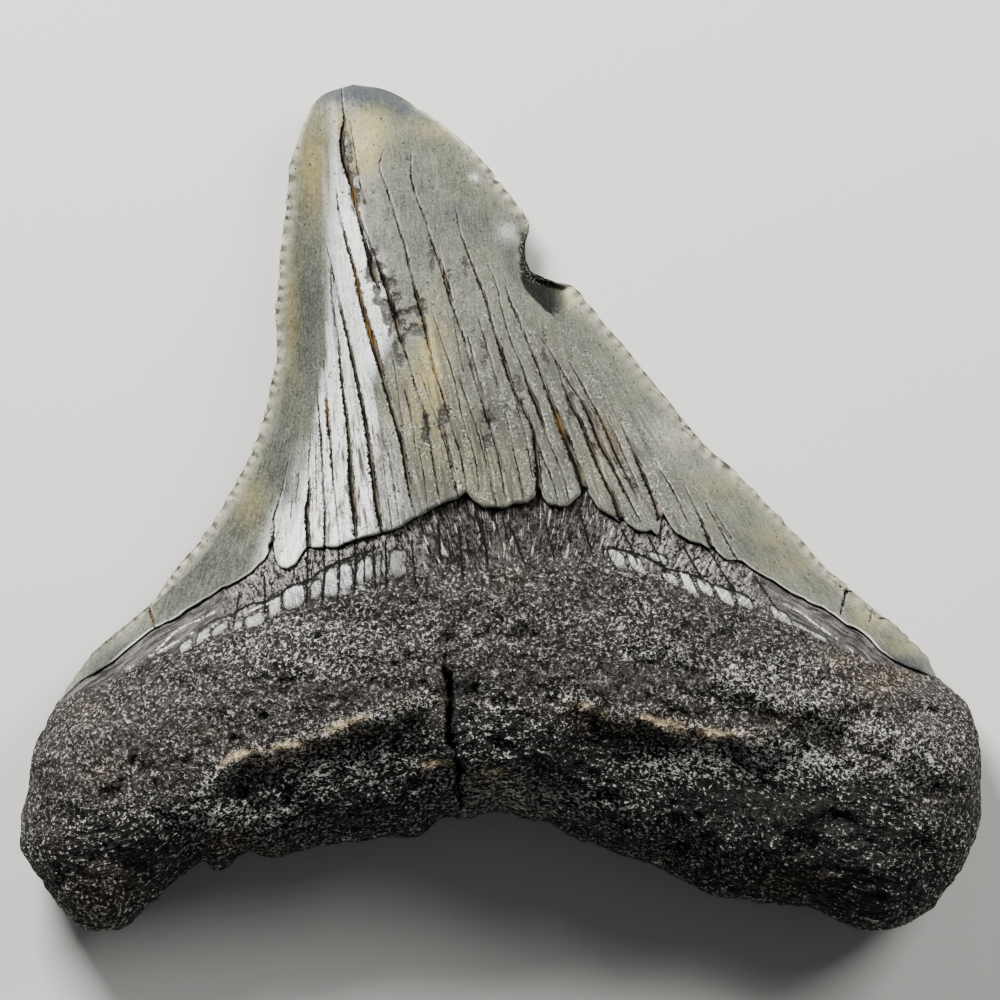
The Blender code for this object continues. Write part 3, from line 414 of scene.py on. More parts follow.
def grain(points, size, seed):
    """Solid noise, from -1 to 1: as lumps, on a cubic lattice; size is one number or one for each axis."""
    lattice = np.random.default_rng(seed).uniform(-1, 1, (48, 48, 48))
    cell = points / size + 512.5
    low = np.floor(cell).astype(int)
    part = ease(0, 1, cell - low)
    total = np.zeros(len(points))
    for corner in np.ndindex(2, 2, 2):
        i, j, k = ((low + corner) % 48).T
        share = np.where(corner, part, 1 - part).prod(axis=1)
        total += share * lattice[i, j, k]
    return total


def spots(places, centres):
    """Sum of soft ellipses: each centre is (x, y, reach along x, reach along y, strength)."""
    total = np.zeros(len(places))
    for x, y, wide, high, strength in centres:
        total += strength * np.exp(-((places[:, 0] - x) / wide) ** 2 - ((places[:, 1] - y) / high) ** 2)
    return total


def window_distance(grid, edge, reach):
    """Distance of a grid's places to the edge line they belong to. Row i of the grid is measured to the
    edge's points from i - reach to i + reach."""
    best = np.full(grid.shape[:2], np.inf)
    count = len(edge)
    index = np.arange(count)
    for shift in range(-reach, reach):
        first = np.clip(index + shift, 0, count - 2)
        start = edge[first][:, None]
        step = (edge[first + 1] - edge[first])[:, None]
        offset = grid - start
        length = np.maximum((step ** 2).sum(axis=2), 1e-12)
        part = np.clip((offset * step).sum(axis=2) / length, 0, 1)
        best = np.minimum(best, np.linalg.norm(offset - part[..., None] * step, axis=2))
    return best


# ---------------------------------------------------------------------------------------------------------
# The tooth's form
# ---------------------------------------------------------------------------------------------------------

def enamel_edge(x):
    """The lingual enamel's lower line at each x: straight from place to place and a little ragged."""
    spot = np.stack([x, np.zeros_like(x)], axis=1)
    ragged = 0.07 * lumps(spot, 0.5, SEED + 6) + 0.08 * lumps(spot, 1.4, SEED + 7)
    ragged *= ease(0, 2, x - LEFT_CORNER[0]) * ease(0, 2, RIGHT_CORNER[0] - x)
    return np.stack([x, np.interp(x, *np.array(ENAMEL_LINE).T) + ragged], axis=1)


LEFT_SIDE = spline(LEFT_EDGE + ROOT_OUTLINE[1:5], 1.0)
RIGHT_SIDE = spline(RIGHT_EDGE + ROOT_OUTLINE[-2:-6:-1], 1.0)
EVEN_STEPS = np.arange(LEFT_CORNER[0], RIGHT_CORNER[0], 0.25)
ENAMEL = enamel_edge(np.union1d(EVEN_STEPS, np.array(ENAMEL_LINE)[:, 0]))
BAND = spline(BAND_LINE, 1.0)


def body_height(places):
    """The lingual face's main form: each section read across, then the sections joined along Y."""
    x, y = places.T
    left = np.interp(-y, -LEFT_SIDE[:, 1], LEFT_SIDE[:, 0])
    right = np.interp(-y, -RIGHT_SIDE[:, 1], RIGHT_SIDE[:, 0])
    share = np.clip((x - left) / np.maximum(right - left, 0.1), 0, 1)
    rows = np.array([smooth(ACROSS, heights, share) for _, heights in SECTIONS])
    return smooth([station for station, _ in SECTIONS], rows, y)


def in_root(places):
    """0 on the crown's sides and 1 on the root's, eased past the corners where the enamel ends."""
    return ease(-14.0, -19.5, places[:, 1])


def edge_height(places):
    """Height of the outline: the thin cutting edges, and half-way up the root."""
    root = in_root(places)
    blade = BLADE_EDGE_HEIGHT + TIP_EDGE_RISE * ease(22, 33, places[:, 1])
    return blade * (1 - root) + ROOT_EDGE_HEIGHT * root


def quarter_round(distance, reach):
    """Profile of a quarter ellipse: 0 at the outline, 1 at the reach and beyond."""
    return np.sqrt(1 - (1 - np.clip(distance / reach, 0, 1)) ** 2)


def walls(places, inset):
    """The lingual face without relief: it rises from the outline's height to the main form."""
    root = in_root(places)
    edge = edge_height(places)
    reach = BLADE_ROUNDING * (1 - root) + ROOT_ROUNDING * root
    return edge + (body_height(places) - edge) * quarter_round(inset, reach)


def labial(places, inset):
    """The labial face without its enamel's step: flat on the ground, with bevelled edges and a low hollow."""
    root = in_root(places)
    edge = edge_height(places)
    blade = edge * (1 - np.clip(inset / LABIAL_BEVEL, 0, 1)) ** 2
    wall = edge * (1 - quarter_round(inset, LABIAL_ROUNDING))
    x, y = places.T
    dip = LABIAL_DIP * np.exp(-(x / 15) ** 2 - ((y + 20) / 8) ** 2) - REST_DEPTH
    return blade * (1 - root) + wall * root + dip * ease(0, 2, inset)


def cracks(places, lines):
    """The nearest of a set of cracks to each place: signed distance, distance and half width there, all in
    millimetres, and a depth that falls from 1 in the crack to 0 a little outside it. Right of the worn
    strips the cracks are wider towards the root and thinner towards the tip."""
    side, near = np.full(len(places), FAR), np.full(len(places), FAR)
    half, depth = np.zeros(len(places)), np.zeros(len(places))
    x, y = places.T
    right = ease(-9.5, -7.5, x + 0.25 * (y - 16))
    thin = 1 - right * np.interp(y, [-6, 2, 12], [-0.3, -0.25, 0.2])
    for points in lines:
        points = np.array(points)
        line = spline(points[:, :2], 0.6)
        box = ((places > line.min(axis=0) - FAR) & (places < line.max(axis=0) + FAR)).all(axis=1)
        away, reach, way = nearest(line, places[box])
        width = np.interp(reach, running_length(points[:, :2]), points[:, 2]) * thin[box]
        closer = away - width < near[box] - half[box]
        chosen = np.flatnonzero(box)[closer]
        side[chosen], near[chosen], half[chosen] = (away * way)[closer], away[closer], width[closer]
        gully = ease(0.06, 0.22, width) * ease(1.3, 0.2, away / np.maximum(width, 0.1))
        depth[box] = np.maximum(depth[box], gully)
    return side, near, half, depth


def ledges(places):
    """A low crest along each ridge, and a drop of the face below it that heals further down."""
    height = np.zeros(len(places))
    for share, points in LEDGES:
        line = spline(points, 1.5)
        away, reach, side = nearest(line, places)
        taper = ease(0, 3, reach) * ease(0, 3, length_of(line) - reach)
        crest = LEDGE_CREST * np.exp(-(away / 1.8) ** 2)
        drop = LEDGE_DROP * ease(0, 2.0, away) * ease(9, 3, away) * (side < 0)
        height += share * taper * (crest - drop)
    return height


def hollow(places, inset):
    """Depth of the bite's scoop, a bowl with a crisp lip, and of the face's sag towards the crumbled rim.
    Also returns the distance to that rim."""
    lip = spline(BITE_LIP, 0.4)
    loop = np.vstack([lip, [(6.0, 19.5), (3.0, 21.0)]])
    bowl = np.where(inside(loop, places), 1 - np.exp(-nearest(lip, places)[0] / 0.35), 0)
    rim = nearest(spline(BITE_RIM, 0.5), places)[0]
    sag = BITE_SAG * np.exp(-(rim / 1.4) ** 2) * ease(0, 0.8, inset)
    return BITE_DEPTH * bowl * ease(0, 0.5, inset) + sag, rim


def whorls(places):
    """Ring-shaped swellings of the root's surface, bell-shaped across the ring."""
    height = np.zeros(len(places))
    for centre in WHORLS:
        radius = np.linalg.norm(places - np.array(centre), axis=1)
        height += WHORL_HEIGHT * np.exp(-((radius - WHORL_RADIUS) / 0.35) ** 2)
    return height


def ridge_wear(places):
    """Wear on the crests of the ridges, from 0 to 1, and in rings, from -1 to 1, on the swellings. Each is
    a bell across its line; the rings are a cosine of the distance from the swelling's middle."""
    worn = np.zeros(len(places))
    for share, points in LEDGES:
        worn += 0.9 * share * np.exp(-(nearest(spline(points, 1.5), places)[0] / 0.7) ** 2)
    for centre in WHORLS:
        radius = np.linalg.norm(places - np.array(centre), axis=1)
        worn += 0.9 * np.cos(2 * np.pi * radius / 0.9) * np.exp(-(radius / 1.7) ** 4)
    return np.clip(worn, -1, 1)


def cream_wear(places):
    """Cream wear, from 0 to 1, along parts of the ridges: broken into runs of about a millimetre."""
    worn = np.zeros(len(places))
    for points in CREAM_CRESTS:
        points = np.array(points)
        away, reach, _ = nearest(points[:, :2], places)
        strength = np.interp(reach, running_length(points[:, :2]), points[:, 2])
        away = away + 0.12 * lumps(places, 0.6, SEED + 75)
        worn = np.maximum(worn, strength * np.exp(-(away / 0.26) ** 2))
    return worn * ease(-0.7, 0.1, lumps(places, 1.1, SEED + 76))


def groove(places):
    """Depth of the nutrient groove: V-shaped and deepest at the arch."""
    away, reach, _ = nearest(spline(NUTRIENT_GROOVE, 1.2), places)
    away = away + 0.16 * lumps(places, 0.7, SEED + 30) + 0.14 * lumps(places, 0.35, SEED + 31)
    half = np.interp(reach, [0, 3, 7, 10, 14], [0.12, 0.34, 0.48, 0.34, 0.42])
    return np.clip(reach / 4, 0.25, 1) * ease(1, 0.2, away / half)


# ---------------------------------------------------------------------------------------------------------
# Meshes
# ---------------------------------------------------------------------------------------------------------

def quads(index):
    """Corner numbers of the cells of a grid of vertex numbers, as (quads, triangles at its poles)."""
    corners = np.stack([index[:-1, :-1], index[1:, :-1], index[1:, 1:], index[:-1, 1:]], axis=-1)
    corners = corners.reshape(-1, 4)
    flat = corners == np.roll(corners, -1, axis=1)
    whole = corners[~flat.any(axis=1)]
    poles = corners[flat.sum(axis=1) == 1]
    keep = ~flat[flat.sum(axis=1) == 1]
    return whole, poles[keep].reshape(-1, 3)


def new_piece(name, points, faces, values, material):
    """A mesh object at the origin from points in millimetres, arrays of faces and named vertex values."""
    mesh = bpy.data.meshes.new(name)
    used, corners = np.unique(np.concatenate([part.ravel() for part in faces]), return_inverse=True)
    points = points[used]
    corners = corners.astype(np.int32).ravel()
    sizes = np.concatenate([np.full(len(part), part.shape[1]) for part in faces]).astype(np.int32)
    mesh.vertices.add(len(points))
    mesh.vertices.foreach_set("co", (points * MM).astype(np.float32).ravel())
    mesh.loops.add(len(corners))
    mesh.loops.foreach_set("vertex_index", corners)
    mesh.polygons.add(len(sizes))
    mesh.polygons.foreach_set("loop_start", np.concatenate([[0], np.cumsum(sizes)[:-1]]).astype(np.int32))
    mesh.polygons.foreach_set("use_smooth", np.ones(len(sizes), bool))
    mesh.update(calc_edges=True)
    if mesh.validate():
        raise RuntimeError(f"{name} has faces that don't hold together")
    for label, value in values.items():
        kind = "FLOAT_VECTOR" if value.ndim == 2 else "FLOAT"
        attribute = mesh.attributes.new(label, kind, "POINT")
        field = "vector" if value.ndim == 2 else "value"
        attribute.data.foreach_set(field, value[used].astype(np.float32).ravel())
    mesh.materials.append(material)
    piece = bpy.data.objects.new(name, mesh)
    bpy.context.collection.objects.link(piece)
    return piece


# ---------------------------------------------------------------------------------------------------------
# The crown
# ---------------------------------------------------------------------------------------------------------

WIDTH = RIGHT_CORNER[0] - LEFT_CORNER[0]
HEIGHT = 48.0                    # about the length of the crown's middle lines, in millimetres
NEAR_EDGE = np.array([0, .05, .12, .2, .3, .42, .56, .72, .9, 1.1, 1.35, 1.65, 2.0, 2.4])
NEAR_LIP = np.array([0.75, 0.5, 0.33, 0.2, 0.1, 0.03, 0.0])
BACK_STEP = 10                   # lingual columns for each labial one
LEFT_TEETH_SEED = SEED + 40
RIGHT_TEETH_SEED = SEED + 50

# Stains of the enamel, as soft ellipses; the last two of BLUE are painted shade on the right wing's
# lower end
YELLOW = [(-10.8, 30.6, 1.6, 1.4, 1.4), (-11.0, 28.4, 1.1, 1.6, 1.2), (-15.2, 27.6, 1.2, 3.6, .8),
          (-5.6, 11.8, 1.2, 3.6, 1.0), (-6.4, 8.0, 2.2, 3.6, .5), (-2.0, 4.0, 4.0, 3.0, .35),
          (-4.4, 30.6, 2.4, .8, .6), (5.9, 17.0, .7, .9, 1.0), (25.0, -4.5, 3.0, .8, .35),
          (33.0, -11.2, 1.6, .7, .45), (30.6, -8.9, 1.8, .8, .8), (-20.3, 0.4, 1.4, 2.0, .4),
          (18.0, 1.8, 2.4, .8, .35), (8.0, 4.5, 1.2, 2.5, .4), (-17.0, 16.0, .6, 5.0, .5),
          (-13.4, 31.4, .9, 1.4, .6), (14.5, 5.5, 1.6, .9, .4), (22.0, -2.5, 1.8, .8, .5)]
BLUE = [(-9.6, 33.6, 3.2, 1.1, 1.2), (-7.4, 32.4, 1.4, .7, 1.1), (-4.0, 23.8, 1.0, .8, .8),
        (-13.0, 33.4, 1.6, .9, .9), (-0.7, 6.9, 1.0, 1.7, .9), (2.8, 5.6, 1.3, 1.2, .5),
        (-3.0, 5.5, 1.0, 1.4, .5), (20.5, -3.2, 2.6, 1.0, .4), (-17.2, 3.0, 1.0, 3.5, .3),
        (-15.2, 14.0, .6, 6.0, .25), (1.4, 20.4, .9, 2.2, .7), (4.1, 10.0, 1.2, 1.4, .4),
        (-16.9, 20.0, .8, 6.0, .15), (-4.6, 33.0, 1.6, .4, .8), (34.2, -13.7, 1.4, .8, 1.1),
        (32.6, -12.6, 1.5, .6, .9)]
GOLD = [(-10.6, 14.0, .5, 1.2, 1.0), (-5.3, 12.0, .5, 1.6, 1.0), (-14.1, 7.9, .4, .8, .8),
        (-4.4, 9.2, .5, 1.5, .8), (-28.1, -9.2, .4, 1.0, .5), (-11.4, 18.0, .5, 1.5, .7),
        (9.3, 6.8, .8, 1.6, .6), (-7.3, 11.0, .4, 1.4, .7), (4.6, 6.0, .5, 1.5, .5),
        (-11.8, 24.8, .5, 1.2, .7)]
# The worn white strips, as a closed line, whose white is partly painted sheen; and small white patches
BLEACHED = [(-13.8, 32.4), (-13.6, 29.4), (-13.4, 24.3), (-13.5, 20.0), (-13.6, 15.2), (-13.8, 12.7),
            (-14.1, 10.3), (-14.7, 7.5), (-15.3, 5.4), (-15.8, 3.0), (-16.2, 0.6), (-18.0, -0.6),
            (-18.6, -4.3), (-17.2, -6.0), (-15.4, -4.4), (-10.0, -3.4), (-10.4, -1.4), (-10.2, 1.4),
            (-10.1, 3.8), (-9.9, 7.1), (-10.4, 9.5), (-9.9, 11.9), (-9.1, 14.4), (-9.4, 16.8),
            (-9.9, 19.2), (-10.7, 21.7), (-12.0, 24.9), (-12.9, 28.1), (-13.6, 32.2)]
# Of the white patches, the first is a painted highlight at the bite's shoulder, and the third is painted
# light on the scoop's lit far wall
PALER = [(0.8, 22.3, .9, .8, .8), (-2.1, 26.7, .3, .3, .9), (6.4, 16.6, .6, .5, .4),
         (14.0, 6.0, 3.0, 1.5, .2), (-9.0, 1.0, 1.6, 4.0, .35)]
# Darker places of the enamel, as soft ellipses: painted shade in and beside the bite's scoop and along the
# right wing's lower end, and a darker tone elsewhere, as on the left flank and wing
SHADED = [(-19.5, 2.0, 3.4, 7.0, .7), (-25.5, -5.0, 5.5, 4.5, .8), (-17.2, 16.0, 2.8, 10.0, .75),
          (-32.0, -12.5, 3.5, 2.5, 1.0), (-0.7, 7.5, 2.0, 3.0, .45), (-7.0, 2.0, 5.0, 3.0, .3),
          (4.0, 4.5, 3.0, 3.5, .3), (20.0, -3.0, 5.0, 2.0, .25), (4.5, 18.5, 1.0, 1.0, .4),
          (-16.0, 28.0, 2.2, 4.0, .8), (-10.5, 34.0, 5.0, 1.6, .9), (-7.0, 22.0, 5.0, 6.0, .15),
          (4.8, 16.7, .7, 1.1, 1.4), (1.2, 19.6, .8, 1.6, .8), (31.4, -11.3, 1.8, 1.2, .7),
          (33.6, -13.0, 2.2, 1.2, 1.1), (-17.4, -2.0, 1.2, 3.0, .5)]
BROKEN = [(-10.2, 18.8, .6, 1.8, 1.3), (-9.3, 17.4, .6, 1.4, 1.3), (-8.7, 15.8, .6, 1.8, 1.3),
          (-7.5, 15.0, .8, 1.1, 1.3), (-8.1, 13.2, .4, 2.0, 1.1), (-6.4, 15.4, .5, 1.7, 1.1),
          (-4.2, 18.2, .3, 1.1, .9), (-4.5, 7.1, .5, 1.5, 1.0), (-6.0, 6.3, .4, 1.4, .8),
          (-5.5, 20.6, .3, 1.6, .8), (-2.8, 20.0, .3, 1.4, .7), (3.6, 12.6, .4, 2.0, .8),
          (5.6, 9.0, .4, 2.2, .8), (-1.4, 12.6, .4, 1.4, .9), (1.4, 9.0, .5, 1.8, .9),
          (-0.9, 6.6, .6, 1.8, 1.1), (7.6, 6.0, .4, 2.0, .8), (-12.4, 28.4, .4, 1.8, 1.0),
          (-11.7, 25.4, .4, 1.8, 1.0)]

# How far the enamel's grain leans, in millimetres along X for each one towards the tip, at places along X
LEAN = [(-36, .6), (-24, .4), (-19, .22), (-15.5, 0), (-12, -.1), (-7, -.24), (0, -.22), (4, -.25), (7, -.36),
        (13, -.5), (18, -.6), (36, -.9)]


def strand(places):
    """Where the strand of grain through each place meets the X axis: x = strand + lean(strand) y, solved by
    repeated substitution, with y held where strands would cross."""
    x, y = places.T
    y = np.clip(y, -12, 14) + 0.4 * np.maximum(y - 14, 0)
    start = x
    for _ in range(25):
        start = 0.5 * start + 0.5 * (x - np.interp(start, *np.array(LEAN).T) * y)
    return start


def share_to_fan(share, v):
    """Which of the lines that fan out from the tip crosses row v at each share across it. It solves
    share = fan - a sin(2 pi fan) / 2 pi by repeated substitution."""
    spread = 0.8 * ease(1.0, 0.35, v)
    fan = share
    for _ in range(40):
        fan = share + spread * np.sin(2 * np.pi * fan) / (2 * np.pi)
    return fan


def teeth(reach, seed):
    """Profile of a serrated edge along its length: 0 in the gaps and 1 on the teeth, of uneven size."""
    spot = np.stack([reach, np.zeros_like(reach)], axis=1)
    return np.abs(np.sin(np.pi * (0.9 * reach + 0.5 * lumps(spot, 2.3, seed)))) ** 0.7


def edge_shift(edge, chips, outward, seed):
    """How far each place of a cutting edge moves outward: serrations, less chips and slow wear."""
    reach = running_length(edge)
    spot = np.stack([reach, np.zeros_like(reach)], axis=1)
    stand = SERRATION_DEPTH + 0.09 * lumps(spot, 0.9, seed + 1)
    shift = stand * teeth(reach, seed) * ease(33, 25, edge[:, 1]) + 0.12 * lumps(spot, 3.1, seed + 2)
    for centre, half, depth in chips:
        _, middle, _ = nearest(edge, np.array([centre]))
        shift -= depth * np.clip(1 - np.abs(reach - middle) / half, 0, 1)
    fade = ease(0, 2, reach) * ease(0, 1.5, reach[-1] - reach)
    return outward * (shift * fade)[:, None]


def crown_plan(v, share, lingual):
    """Plan places of the crown for row fractions v from the tip and shares across: straight rows between
    the cutting edges, bent down towards the arch by v squared and onto the lower line near v = 1, plus the
    edges' serrations, chips and bite, which fade inwards. Also returns the fan coordinate."""
    left, right = along(LEFT_EDGE, v), along(RIGHT_EDGE, v)
    row = v[:, None]
    fan = share_to_fan(share, row)
    width = np.linalg.norm(right - left, axis=1)[:, None]
    share = share[..., None]
    plan = left[:, None] * (1 - share) + right[:, None] * share
    x = LEFT_CORNER[0] + WIDTH * fan.ravel()
    chord = np.array(LEFT_CORNER) + (np.array(RIGHT_CORNER) - LEFT_CORNER) * fan.reshape(-1, 1)
    line = enamel_edge(x) if lingual else across(LABIAL_LINE, x)
    arch = across(ARCH_LINE, x) if lingual else line
    plan += ((arch - chord).reshape(plan.shape)) * row[..., None] ** 2
    plan += ((line - arch).reshape(plan.shape)) * row[..., None] ** 14
    from_left = share[..., 0] * width
    for edge, chips, outward, seed, depth in (
            (left, LEFT_CHIPS, right_hand(left), LEFT_TEETH_SEED, from_left),
            (right, RIGHT_CHIPS, -right_hand(right), RIGHT_TEETH_SEED, (1 - share[..., 0]) * width)):
        shift = edge_shift(edge, chips, outward, seed)
        plan += shift[:, None] * np.exp(-(depth / 1.3) ** 2)[..., None]
    start, end = np.array(NOTCH_START), np.array(NOTCH_END)
    down = (end - start) / np.linalg.norm(end - start)
    inwards = np.array([down[1], -down[0]])
    bite = np.interp((plan - start) @ down, *np.array(NOTCH).T) * ease(9, 0, (plan - start) @ inwards)
    plan += bite[..., None] * inwards
    return plan, fan


def crown_shares(v, columns):
    """Shares across each row: close together at both cutting edges, then closest in the cracked middle."""
    width = np.linalg.norm(along(RIGHT_EDGE, v) - along(LEFT_EDGE, v), axis=1)[:, None]
    rim = NEAR_EDGE / np.maximum(width, 0.01) * np.minimum(1, 0.2 * width / NEAR_EDGE[-1])
    even = np.linspace(0, 1, columns - 2 * len(NEAR_EDGE) + 2)[1:-1]
    even = even + 0.35 * np.sin(2 * np.pi * even) / (2 * np.pi)
    middle = rim[:, -1:] + (1 - 2 * rim[:, -1:]) * even
    return np.hstack([rim, middle, 1 - rim[:, ::-1]])


def rim_distance(plan):
    """Distance of the crown's grid to its two cutting edges."""
    return np.minimum(window_distance(plan, plan[:, 0], 20), window_distance(plan, plan[:, -1], 20))


def rim_teeth(places, fan, inset, edges):
    """The serrations of the nearer cutting edge carried in over the rim: 0 in the gaps, 1 on the teeth."""
    tooth = np.ones(len(places))
    for edge, seed, here in zip(edges, (LEFT_TEETH_SEED, RIGHT_TEETH_SEED), (fan < 0.5, fan >= 0.5)):
        close = here & (inset < 2.5)
        tooth[close] = teeth(nearest(edge, places[close])[1], seed)
    return tooth


def enamel_relief(places, fan, v, inset, tooth):
    """The height that the lingual enamel adds to the body, in millimetres, what its material reads, and
    the flow of its grain: its thickness, less cracks, gaps and flakes, plus striations and swellings."""
    x, y = places.T
    crown = np.maximum(above(ENAMEL, places), 0)
    side, near, half, depth = cracks(places, CRACKS)
    scoop, rim = hollow(places, inset)
    flow = np.column_stack([strand(places), y])
    striae = ease(0.22, 0.31, fan) * ease(0.82, 0.68, fan) * ease(0.25, 0.75, v)
    fine = lumps(flow / [1, 9], 0.42, SEED + 60) + 0.6 * lumps(flow / [1, 7], 0.8, SEED + 61)
    # The worn white strips, whose white is partly painted sheen
    worn = signed(np.array(BLEACHED), places) + 0.12 * lumps(places, 0.8, SEED + 69)
    worn += 0.45 * lumps(flow / [1, 9], 0.5, SEED + 70)
    soft = 0.5 + 0.6 * ease(10, 26, y) + 1.1 * ease(-15.2, -17.0, x)
    bleach = ease(-soft, soft, worn) * (1 - 0.7 * ease(23, 32, y))
    bleach *= 1 - ease(-12.9, -12.1, x) * ease(26, 28.5, y)
    bleach = np.clip(bleach + spots(places, PALER), 0, 1)
    plain = ease(31.5, 26.0, y)
    broken = np.clip(spots(places, BROKEN), 0, 1) * ease(-0.6, 0.2, lumps(places, 0.5, SEED + 62))
    sheet = ENAMEL_THICKNESS * (0.3 + 0.7 * quarter_round(crown, ENAMEL_ROUNDING))
    bank = 0.12 * lumps(flow / [1, 12], 1.7, SEED + 63) + BANK_HEIGHT * ease(0, FAR, near - half)
    wave = 0.06 * lumps(places, 5.0, SEED + 64) + 0.03 * lumps(places, 1.6, SEED + 65)
    relief = sheet - CRACK_DEPTH * depth + STRIATION_HEIGHT * fine * striae + bank * striae + wave
    relief += (BROKEN_GRAIN * lumps(places, 0.28, SEED + 59) - BROKEN_DEPTH) * broken
    relief -= SERRATION_GROOVE * (1 - tooth) * plain * np.exp(-inset / 0.6)
    relief += 0.25 * lumps(places, 0.5, SEED + 67) * np.exp(-(rim / 0.4) ** 2)
    values = {
        "crack_side": side,
        "crack_near": near,
        "crack_half": half,
        "broken": broken,
        "striae": striae,
        "bleach": bleach,
        "yellow": np.clip(spots(places, YELLOW), 0, 1),
        "blue": np.clip(spots(places, BLUE), 0, 1),
        "gold": np.clip(spots(places, GOLD), 0, 1),
        "rim": np.exp(-(inset / (0.22 + 0.46 * plain)) ** 2) * ease(33.5, 31, y)
               * (0.25 + 0.75 * ease(33, 27, np.abs(x))),
        "tooth": 1 - plain * (1 - tooth),
        "lip": ease(0.18, 0.08, crown) * (0.4 + 0.6 * ease(16, 20, np.abs(x - 0.5)))
               * ease(32.5, 30, np.abs(x)),
        # Painted shadow on the scoop's floor beside the bite
        "bed": inside(np.array(BITE_SHADOW), places) * ease(5.7, 4.0, x),
        "crumb": ease(0.62, 0.36, rim + 0.15 * lumps(places, 0.5, SEED + 68)),
        # 1 less the SHADED ellipses: painted shade by the bite and on the right wing's end, and darker tone
        "shade": np.clip(1 - spots(places, SHADED), 0, 1),
    }
    return relief * ease(0, 1.2, inset) - scoop, values, flow


def make_crown(material, rows, columns):
    """The enamel cap: a lingual and a labial sheet that share both cutting edges, and a rolled lip below."""
    v = np.concatenate([np.linspace(0, 1 - 1.0 / HEIGHT, rows - len(NEAR_LIP)), 1 - NEAR_LIP / HEIGHT])
    plan, fan = crown_plan(v, crown_shares(v, columns), True)
    places, fan = plan.reshape(-1, 2), fan.ravel()
    inset = rim_distance(plan)
    inset[:, [0, -1]] = 0
    inset = inset.ravel()
    row = np.repeat(v, columns)
    edges = along(LEFT_EDGE, v), along(RIGHT_EDGE, v)
    relief, values, flow = enamel_relief(places, fan, row, inset, rim_teeth(places, fan, inset, edges))
    body = walls(places, inset)
    front = np.column_stack([places, np.maximum(body + relief, 0)]).reshape(rows, columns, 3)
    lingual_lip = rolled_lip(front, body.reshape(rows, columns)[-1], inset.reshape(rows, columns)[-1], -1)

    few = (columns - 1) // BACK_STEP + 1
    back_plan, _ = crown_plan(v, crown_shares(v, columns)[:, ::BACK_STEP], False)
    back_inset = rim_distance(back_plan)
    back_inset[:, [0, -1]] = 0
    back_height = np.maximum(0, labial(back_plan.reshape(-1, 2), back_inset.ravel()))
    back = np.dstack([back_plan, back_height.reshape(rows, few)])
    labial_lip = rolled_lip(back, back[-1, :, 2], back_inset[-1], 1)

    grid = np.concatenate([front, lingual_lip])
    back_grid = np.concatenate([back, labial_lip])
    index = np.arange(grid.shape[0] * columns).reshape(-1, columns)
    back_index = index.size + np.arange(back_grid.shape[0] * few).reshape(-1, few)
    index[0] = 0
    index[rows:, 0], index[rows:, -1] = index[rows - 1, 0], index[rows - 1, -1]
    back_index[0] = 0
    shared = np.minimum(np.arange(len(back_index)), rows - 1)
    back_index[:, 0], back_index[:, -1] = index[shared, 0], index[shared, -1]
    faces = [*quads(index), *(part[:, ::-1] for part in quads(back_index)), *cap(index[-1], back_index[-1])]
    points = np.vstack([grid.reshape(-1, 3), back_grid.reshape(-1, 3)])
    values = {label: extended(value, len(points)) for label, value in values.items()}
    under, labial_side = slice(len(places), index.size), slice(index.size, index.size + rows * few)
    values["crack_near"][len(places):] = FAR
    # The rows rolled under the enamel's lip take the same dark colour, as painted shade
    values["bed"][under] = 1
    values["tooth"][under] = 1
    values["rim"][labial_side] = np.exp(-(back_inset.ravel() / 0.75) ** 2)
    values["flow"] = points.copy()
    values["flow"][:len(places), :2] = flow
    return new_piece("crown", points, faces, values, material)


def extended(value, count):
    """An array of vertex values with zeros added for the vertices that follow."""
    return np.concatenate([value, np.zeros(count - len(value))])


def rolled_lip(sheet, base, inset, way):
    """Rows that continue a sheet under its lower edge and into the tooth: each is a shift towards the tip
    and a step through the thickness, both fading to nothing at the corners."""
    ahead = sheet[-14, :, :2] - sheet[-1, :, :2]
    ahead /= np.maximum(np.linalg.norm(ahead, axis=1), 1e-6)[:, None]
    taper = ease(0, 1.5, inset)
    rows = []
    for shift, step in ((0.0, 0.05), (0.2, 0.3), (1.0, 0.8)):
        plan = sheet[-1, :, :2] + ahead * (shift * taper)[:, None]
        rows.append(np.column_stack([plan, base + way * step * taper]))
    return np.array(rows)


def cap(front, back):
    """Faces that join a row of many vertices to a row of few: BACK_STEP front edges to each back edge."""
    runs = np.stack([front[j:len(front) - BACK_STEP + j:BACK_STEP] for j in range(BACK_STEP + 1)], axis=1)
    faces = np.hstack([runs[:, :1], back[:-1, None], back[1:, None], runs[:, :0:-1]])
    first = np.delete(faces[:1], 1, axis=1)
    last = np.delete(faces[-1:], 2, axis=1)
    return faces[1:-1], first, last


# ---------------------------------------------------------------------------------------------------------
# The root
# ---------------------------------------------------------------------------------------------------------

